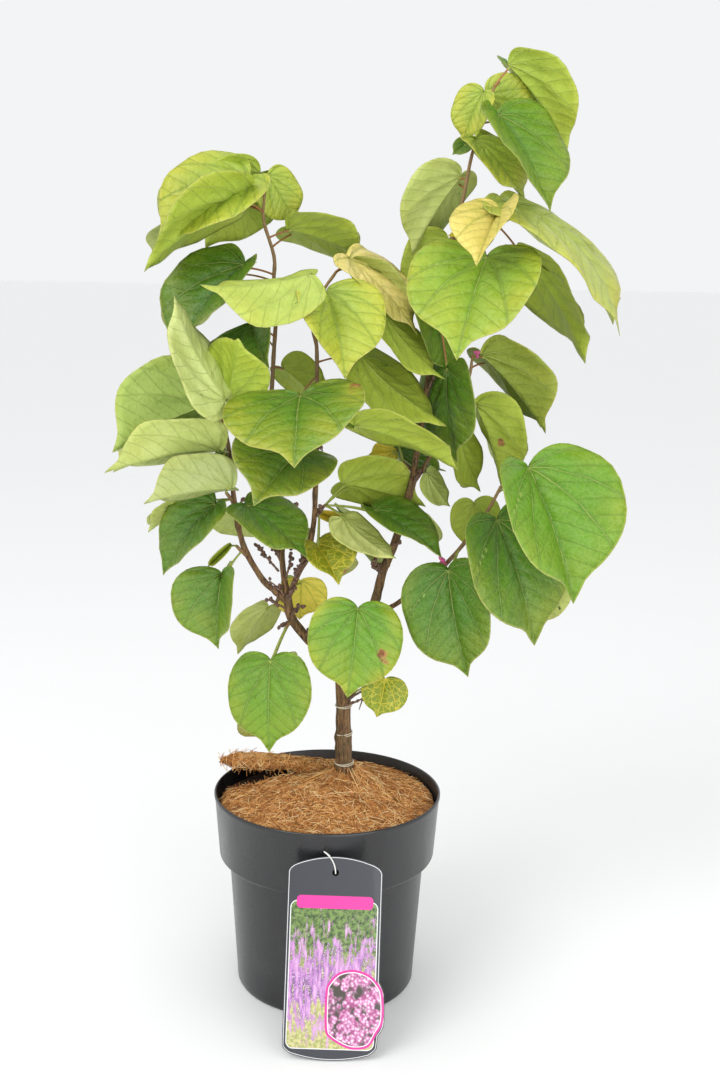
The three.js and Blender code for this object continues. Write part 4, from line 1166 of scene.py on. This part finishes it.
def fibreMaterial():
    n = Nodes("coir_fibre")
    color = n.ramp(n.attribute("tone"), *coirSettings["fibreTones"])
    return n.finish(n.stain(n.fade(n.noise(60, 3), 0.35, 0.7, 0, 0.5), color, (216, 194, 164)), 0.8)


fibreSizes = {"Count": coirSettings["fibres"], "Length": coirSettings["fibreLength"] * mm,
              "Radius": coirSettings["fibreRadius"] * mm}


# short bent fibres lying every way on a surface
def fibreNodes(material):
    tree = bpy.data.node_groups.new("coir_fibres", "GeometryNodeTree")
    ports = tree.interface
    ports.new_socket("Geometry", in_out="INPUT", socket_type="NodeSocketGeometry")
    for name, value in fibreSizes.items():
        kind = "NodeSocketInt" if name == "Count" else "NodeSocketFloat"
        ports.new_socket(name, in_out="INPUT", socket_type=kind).default_value = value
    ports.new_socket("Geometry", in_out="OUTPUT", socket_type="NodeSocketGeometry")

    def add(kind, inputs=None, **settings):
        made = tree.nodes.new(kind)
        for key, value in settings.items():
            setattr(made, key, value)
        for key, value in (inputs or {}).items():
            if isinstance(value, bpy.types.NodeSocket):
                tree.links.new(value, made.inputs[key])
            else:
                made.inputs[key].default_value = value
        return made

    def randomFloat(low, high, seed):
        made = add("FunctionNodeRandomValue", {"Min": low, "Max": high, "Seed": seed}, data_type="FLOAT")
        return [s for s in made.outputs if s.enabled][0]

    given = add("NodeGroupInput")
    # points spread over the surface, as many as asked for
    faceArea = add("GeometryNodeInputMeshFaceArea").outputs["Area"]
    area = add("GeometryNodeAttributeStatistic", {"Geometry": given.outputs["Geometry"],
                                                  "Attribute": faceArea}, domain="FACE")
    density = add("ShaderNodeMath", {0: given.outputs["Count"], 1: area.outputs["Sum"]}, operation="DIVIDE")
    # none beside the pot's wall, so that no fibre reaches through it
    place = add("ShaderNodeSeparateXYZ", {0: add("GeometryNodeInputPosition").outputs["Position"]})
    flat = add("ShaderNodeCombineXYZ", {"X": place.outputs["X"], "Y": place.outputs["Y"]})
    far = add("ShaderNodeVectorMath", {0: flat.outputs[0]}, operation="LENGTH").outputs["Value"]
    within = add("FunctionNodeCompare", {0: far, 1: coirSettings["fibreReach"] * mm}, operation="LESS_THAN")
    above = add("FunctionNodeCompare", {0: place.outputs["Z"], 1: coirSettings["flapLevel"] * mm},
                operation="GREATER_THAN")
    allowed = add("FunctionNodeBooleanMath", {0: within.outputs[0], 1: above.outputs[0]}, operation="OR")
    spread = add("GeometryNodeDistributePointsOnFaces", {"Mesh": given.outputs["Geometry"],
                                                         "Selection": allowed.outputs[0],
                                                         "Density": density.outputs[0], "Seed": 4})
    # one fibre: an arc whose ends dip into the disc
    bow = add("GeometryNodeCurveQuadraticBezier", {"Resolution": 3, "Start": (-0.5, 0.0, -0.04),
                                                   "Middle": (0.0, 0.12, 0.16), "End": (0.5, 0.0, -0.04)})
    turn = add("FunctionNodeRandomValue", {"Min": (-0.32, -0.32, 0.0), "Max": (0.32, 0.32, 6.283), "Seed": 7},
               data_type="FLOAT_VECTOR")
    lay = add("FunctionNodeRotateRotation", {"Rotation": spread.outputs["Rotation"],
                                             "Rotate By": turn.outputs["Value"]}, rotation_space="LOCAL")
    scale = add("ShaderNodeMath", {0: randomFloat(0.5, 1.5, 2), 1: given.outputs["Length"]},
                operation="MULTIPLY")
    placed = add("GeometryNodeInstanceOnPoints", {"Points": spread.outputs["Points"],
                                                  "Instance": bow.outputs["Curve"],
                                                  "Rotation": lay.outputs["Rotation"],
                                                  "Scale": scale.outputs[0]})
    # each fibre has a tone of its own
    toned = add("GeometryNodeStoreNamedAttribute", {"Geometry": placed.outputs["Instances"], "Name": "tone",
                                                    "Value": randomFloat(0.0, 1.0, 9)},
                data_type="FLOAT", domain="INSTANCE")
    real = add("GeometryNodeRealizeInstances", {"Geometry": toned.outputs["Geometry"]})
    section = add("GeometryNodeCurvePrimitiveCircle", {"Resolution": 3, "Radius": given.outputs["Radius"]})
    solid = add("GeometryNodeCurveToMesh", {"Curve": real.outputs["Geometry"],
                                            "Profile Curve": section.outputs["Curve"], "Fill Caps": True})
    painted = add("GeometryNodeSetMaterial", {"Geometry": solid.outputs["Mesh"], "Material": material})
    out = add("NodeGroupOutput")
    tree.links.new(painted.outputs["Geometry"], out.inputs["Geometry"])
    return tree


coirShape = coirSurface()
coir = addMesh("coir_disc", *coirShape, [coirMaterial()])
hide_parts("coir_mat")

fibreLook = fibreMaterial()
fibreBase = addMesh("fibre_base", *coirShape, [fibreLook])
modifier = fibreBase.modifiers.new("fibres", "NODES")
modifier.node_group = fibreNodes(fibreLook)
for item in modifier.node_group.interface.items_tree:
    if item.in_out == "INPUT" and item.name in fibreSizes:
        modifier[item.identifier] = fibreSizes[item.name]
evaluated = fibreBase.evaluated_get(bpy.context.evaluated_depsgraph_get())
fibreMesh = bpy.data.meshes.new_from_object(evaluated)
bpy.data.objects.remove(fibreBase)       # and its modifier with it
fibreMesh.name = "coir_fibres"
fibres = bpy.data.objects.new("coir_fibres", fibreMesh)
scene.collection.objects.link(fibres)
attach(fibres, "root")
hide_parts("coir_mat")

# strands drawn up round the foot of the trunk
strands = Parts()
rnd = random.Random(coirSettings["strandSeed"])
for _ in range(coirSettings["strands"]):
    angle = rnd.uniform(0, 2 * math.pi)
    start, climb = rnd.uniform(16, 44), rnd.uniform(0, 1) ** 1.5
    twist = angle + rnd.gauss(0, 0.22)
    x, y = coirSettings["trunkX"] + start * math.cos(twist), start * math.sin(twist)
    foot = np.array([x, y, soilHeight(math.hypot(x, y)) + 8.5])
    end = np.array([coirSettings["trunkX"] + coirSettings["strandEnd"] * math.cos(angle),
                    coirSettings["strandEnd"] * math.sin(angle), coirSettings["strandLevel"] + 12 * climb])
    middle = foot * 0.5 + end * 0.5 + [0, 0, rnd.uniform(-2, 2.5)] + jitter(rnd, 1.0)
    radius = rnd.uniform(0.16, 0.34)
    strands.add(*tubeMesh(arcPath(foot, middle, end, 7, lambda t: radius), 4), tone=rnd.random())
strandObject = addMesh("coir_strands", strands.points, strands.faces, [fibreLook])
addPointFloat(strandObject, "tone", strands.column("tone"))
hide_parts("coir_mat")
print("coir:", len(fibreMesh.polygons) + len(strands.faces), "fibre faces")


tagSettings = {
    "width": 89,
    "height": 190,
    "thickness": 1.2,
    "arch": 13,
    "holeHeight": 173,
    "hole": 3.2,
    "footY": -166,
    "topY": -115.4,
    "x": 8.3,
    "tilt": 0.0185,
    "picture": (4, 11, 4, 146),          # its margins: left, from the foot, right, and up to
    "band": (9, 139.5, 8, 151.5),
    # the inlaid picture's corners, across from the right edge and up
    "inlay": [[-50, 62], [-49.5, 30], [-45, 21], [-31, 13], [-20, 11], [-8, 14], [-1, 25.5], [4.8, 38],
              [3.8, 62], [-1.2, 72], [-10, 80], [-24, 84], [-38, 81], [-47, 72]],
    "card": (50, 52, 60),
    "white": (238, 238, 238),
    "magenta": (222, 50, 152),
}


def tagPlacement():
    t = tagSettings
    lean = math.asin((t["topY"] - t["footY"]) / t["height"])
    return (Matrix.Translation((t["x"], t["footY"], 0.5)) @ Matrix.Rotation(t["tilt"], 4, "Y")
            @ Matrix.Rotation(math.pi / 2 - lean, 4, "X"))


def arcTo(line, middle, end, steps):       # lengthens the line by an arc
    start, middle, end = np.array([line[-1], middle, end], float)
    line += [tuple(arc(start, middle, end, t)) for t in np.linspace(0, 1, steps + 1)[1:]]


def tagOutline():
    t = tagSettings
    half, arch, top = t["width"] / 2, t["arch"], t["height"]
    line = [(-half, arch)]
    arcTo(line, (-half + 2, arch - 5), (-half + 8, arch - 7.5), 5)
    arcTo(line, (0, -arch + 8), (half - 8, arch - 7.5), 16)
    arcTo(line, (half - 1, arch - 3), (half - 0.5, arch), 5)
    # the bulge beside the inlaid picture
    line.append((half + 0.5, 24))
    arcTo(line, (half + 6, 30), (half + 6, 38), 5)
    line.append((half + 5, 62))
    arcTo(line, (half + 3.5, 68), (half, 73), 5)
    line.append((half, top - arch - 4))
    arcTo(line, (half - 1, top - arch + 1), (half - 8, top - arch + 4), 5)
    arcTo(line, (0, top + arch - 8), (-half + 8, top - arch + 4), 16)
    arcTo(line, (-half + 1, top - arch + 1), (-half, top - arch - 4), 5)
    return line


def smoothRing(corners, steps=5):
    p = np.array(corners, float)
    return [tuple(spline(*(p[(i + k) % len(p)] for k in (-1, 0, 1, 2)), t))
            for i in range(len(p)) for t in np.arange(steps) / steps]


def roundedPanel(x0, y0, x1, y1, radius, steps=6):
    line = []
    for cx, cy, start in ((x1 - radius, y1 - radius, 0), (x0 + radius, y1 - radius, 90),
                          (x0 + radius, y0 + radius, 180), (x1 - radius, y0 + radius, 270)):
        for k in range(steps + 1):
            a = math.radians(start + 90 * k / steps)
            line.append((cx + radius * math.cos(a), cy + radius * math.sin(a)))
    return line


def inset(line, distance):       # the closed outline moved inwards
    moved = []
    for i, (x, y) in enumerate(line):
        ax, ay = line[i - 1]
        bx, by = line[(i + 1) % len(line)]
        d = unit(np.array([bx - ax, by - ay]))
        moved.append((x - d[1] * distance, y + d[0] * distance))
    return moved


# filled flat outlines, the later ones holes, as a closed slab from low to high
def slab(outlines, low, high):
    curve = bpy.data.curves.new("shape", "CURVE")
    curve.dimensions = "2D"
    curve.fill_mode = "BOTH"
    for line in outlines:
        ring = curve.splines.new("POLY")
        ring.points.add(len(line) - 1)
        for point, (x, y) in zip(ring.points, line):
            point.co = (x, y, 0, 1)
        ring.use_cyclic_u = True
    curve.extrude = (high - low) / 2
    holder = bpy.data.objects.new("shape", curve)
    mesh = bpy.data.meshes.new_from_object(holder)
    points = [np.array(v.co) + [0, 0, (high + low) / 2] for v in mesh.vertices]
    faces = [tuple(p.vertices) for p in mesh.polygons]
    bpy.data.objects.remove(holder)
    bpy.data.meshes.remove(mesh)
    return points, faces


def printed(n, color, roughness=0.22):       # the gloss of all that is printed
    return n.finish(color, roughness, Coat_Weight=0.4)


# lilac flower spires before dark shrubs, over grass
def gardenMaterial():
    n = Nodes("print_garden")
    where = n.node("ShaderNodeUVMap", uv_map="tag").outputs["UV"]
    up = n.node("ShaderNodeSeparateXYZ", {0: where}).outputs["Y"]
    dots = n.cells(62.0, where)
    patches = n.noise(7, 4, 0.6, where)
    spires = n.noise(1, 4, 0.6, n.stretched((26.0, 5.0, 1.0), where))
    grass = n.mix(n.fade(n.noise(30, 4, 0.6, where), 0.35, 0.65), rgba((150, 158, 84)), rgba((206, 200, 140)))
    shrubs = n.mix(n.fade(n.noise(22, 5, 0.7, where), 0.35, 0.62), rgba((44, 66, 34)), rgba((120, 148, 78)))
    ground = n.mix(n.fade(up, 0.75, 1.15), grass, shrubs)
    # the flowers thin out towards the top and the grass
    amount = n.minus(n.plus(n.times(spires, 0.75), n.times(patches, 0.5)),
                     n.times(n.math("ABSOLUTE", n.minus(up, 0.72)), 0.42))
    lilac = n.ramp(spires, (0.36, (104, 72, 118)), (0.5, (172, 118, 182)), (0.64, (214, 172, 212)))
    florets = n.mix(n.fade(spires, 0.42, 0.56), rgba((246, 226, 246)), rgba((214, 108, 190)))
    color = n.mix(n.fade(amount, 0.42, 0.54), ground, lilac)
    color = n.mix(n.times(n.fade(dots, 0.1, 0.45, 0.8, 0), n.fade(amount, 0.36, 0.46)), color, florets)
    return printed(n, color)


# close pink flowers with dark gaps
def blossomMaterial():
    n = Nodes("print_blossom")
    where = n.node("ShaderNodeUVMap", uv_map="tag").outputs["UV"]
    flowers, petals = n.cells(13.0, where), n.cells(34.0, where)
    pink = n.ramp(petals, (0.1, (255, 238, 248)), (0.4, (222, 156, 198)), (0.75, (164, 78, 130)))
    gaps = n.times(n.fade(flowers, 0.42, 0.7), n.fade(n.noise(6, 3, 0.5, where), 0.4, 0.55))
    return printed(n, n.mix(gaps, pink, rgba((66, 62, 54))))


def plainPrint(name, color, roughness):
    n = Nodes(name)
    return printed(n, n.stain(n.fade(n.noise(60, 3), 0.3, 0.7, 0, 0.25), rgba(color), (226, 226, 226)),
                   roughness)


def buildTag():
    t = tagSettings
    half = t["width"] / 2
    face = t["thickness"]
    hole = [(t["hole"] * math.cos(a), t["holeHeight"] + t["hole"] * math.sin(a))
            for a in np.linspace(0, 2 * math.pi, 24, endpoint=False)]
    outline = tagOutline()
    picture, band = (roundedPanel(-half + left, foot, half - right, top, radius)
                     for (left, foot, right, top), radius in ((t["picture"], 6), (t["band"], 4)))
    inlay = smoothRing([(half + x, y) for x, y in t["inlay"]])
    card, white, magenta, garden, blossom = range(5)
    materials = [plainPrint("tag_card", t["card"], 0.28), plainPrint("print_white", t["white"], 0.25),
                 plainPrint("print_magenta", t["magenta"], 0.25), gardenMaterial(), blossomMaterial()]
    # each printed layer: its outlines, how far it stands out of the card, its material
    layers = [([inset(outline, 0.8), inset(outline, 1.3)], 0.05, white),
              ([inset(picture, -0.8)], 0.06, white), ([picture], 0.10, garden), ([band], 0.16, magenta),
              ([inlay], 0.20, magenta), ([inset(inlay, 2.2)], 0.24, white),
              ([inset(inlay, 3.0)], 0.28, blossom)]
    slabs = [([outline, hole], 0.0, face, card)]
    slabs += [(outlines, face + rise - 0.08, face + rise, slot) for outlines, rise, slot in layers]
    parts, slots = Parts(), []
    for outlines, low, high, slot in slabs:
        points, faces = slab(outlines, low, high)
        uv = [((p[0] + half) / t["width"], p[1] / t["height"] * 2) for p in points]
        parts.add(points, faces, uv=uv)
        slots += [slot] * len(faces)
    place = tagPlacement()
    points = [tuple(place @ Vector(p)) for p in parts.points]
    obj = addMesh("picture_tag", points, parts.faces, materials, False, slots)
    addPointUv(obj, "tag", parts.column("uv"))
    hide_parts("tag")


loopSettings = {
    "length": 11.6,        # half the loop's length, and of its depth
    "depth": 2.4,
    "bend": 3.2,
    "radius": 0.62,
    "steps": 48,
    "tones": ((0.3, (206, 204, 198)), (0.7, (244, 243, 240))),
}


def buildLoop():
    t, s = tagSettings, loopSettings
    ahead, aside = np.array([-0.5, 0.866, 0]), np.array([0.866, 0.5, 0])
    centre = np.array([0, t["holeHeight"], t["thickness"] / 2]) + ahead * (s["length"] - 0.8)
    place = tagPlacement()
    path = []
    for a in np.linspace(0, 2 * math.pi, s["steps"] + 1):
        p = centre - ahead * s["length"] * math.cos(a) + np.array([0, 0, s["depth"] * math.sin(a)])
        p += aside * s["bend"] * (math.sin(a) ** 2 - 0.15)
        path.append([*(place @ Vector(p)), s["radius"]])
    n = Nodes("elastic")
    weave = n.noise(1400, 2)
    look = n.finish(n.ramp(weave, *s["tones"]), 0.65, weave, 0.0003, 0.6)
    obj = addMesh("string_loop", *tubeMesh(np.array(path), 10), [look])
    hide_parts("tag_loop")


buildTag()
buildLoop()
print("tag: done")


studio = {
    "floor": (249, 249, 249),
    "floorSize": 60,          # metres, to where floor and background meet
    "sky": (0.895, 0.905, 0.912),
    "skyStrength": 1.0,
    # each light: power, size and place in metres
    "lights": {"key": (26, 1.4, (-1.3, -1.5, 2.1)), "fill": (20, 1.8, (0.9, -1.9, 0.7))},
    "lightsAimAt": (0, 0, 0.5),
}

mesh = bpy.data.meshes.new("floor")
size = studio["floorSize"]
mesh.from_pydata([(-size, -size, 0), (size, -size, 0), (size, size, 0), (-size, size, 0)], [], [(0, 1, 2, 3)])
mesh.materials.append(Nodes("floor").finish(rgba(studio["floor"]), 0.7))
floor = bpy.data.objects.new("floor", mesh)
scene.collection.objects.link(floor)

world = bpy.data.worlds.new("studio")
world.use_nodes = True
background = world.node_tree.nodes["Background"]
background.inputs["Color"].default_value = (*studio["sky"], 1)
background.inputs["Strength"].default_value = studio["skyStrength"]
scene.world = world

for name, (power, size, place) in studio["lights"].items():
    data = bpy.data.lights.new(name, "AREA")
    data.energy = power
    data.size = size
    light = bpy.data.objects.new(name, data)
    light.location = place
    light.rotation_euler = (Vector(studio["lightsAimAt"]) - Vector(place)).to_track_quat("-Z", "Y").to_euler()
    scene.collection.objects.link(light)
print("light: done")
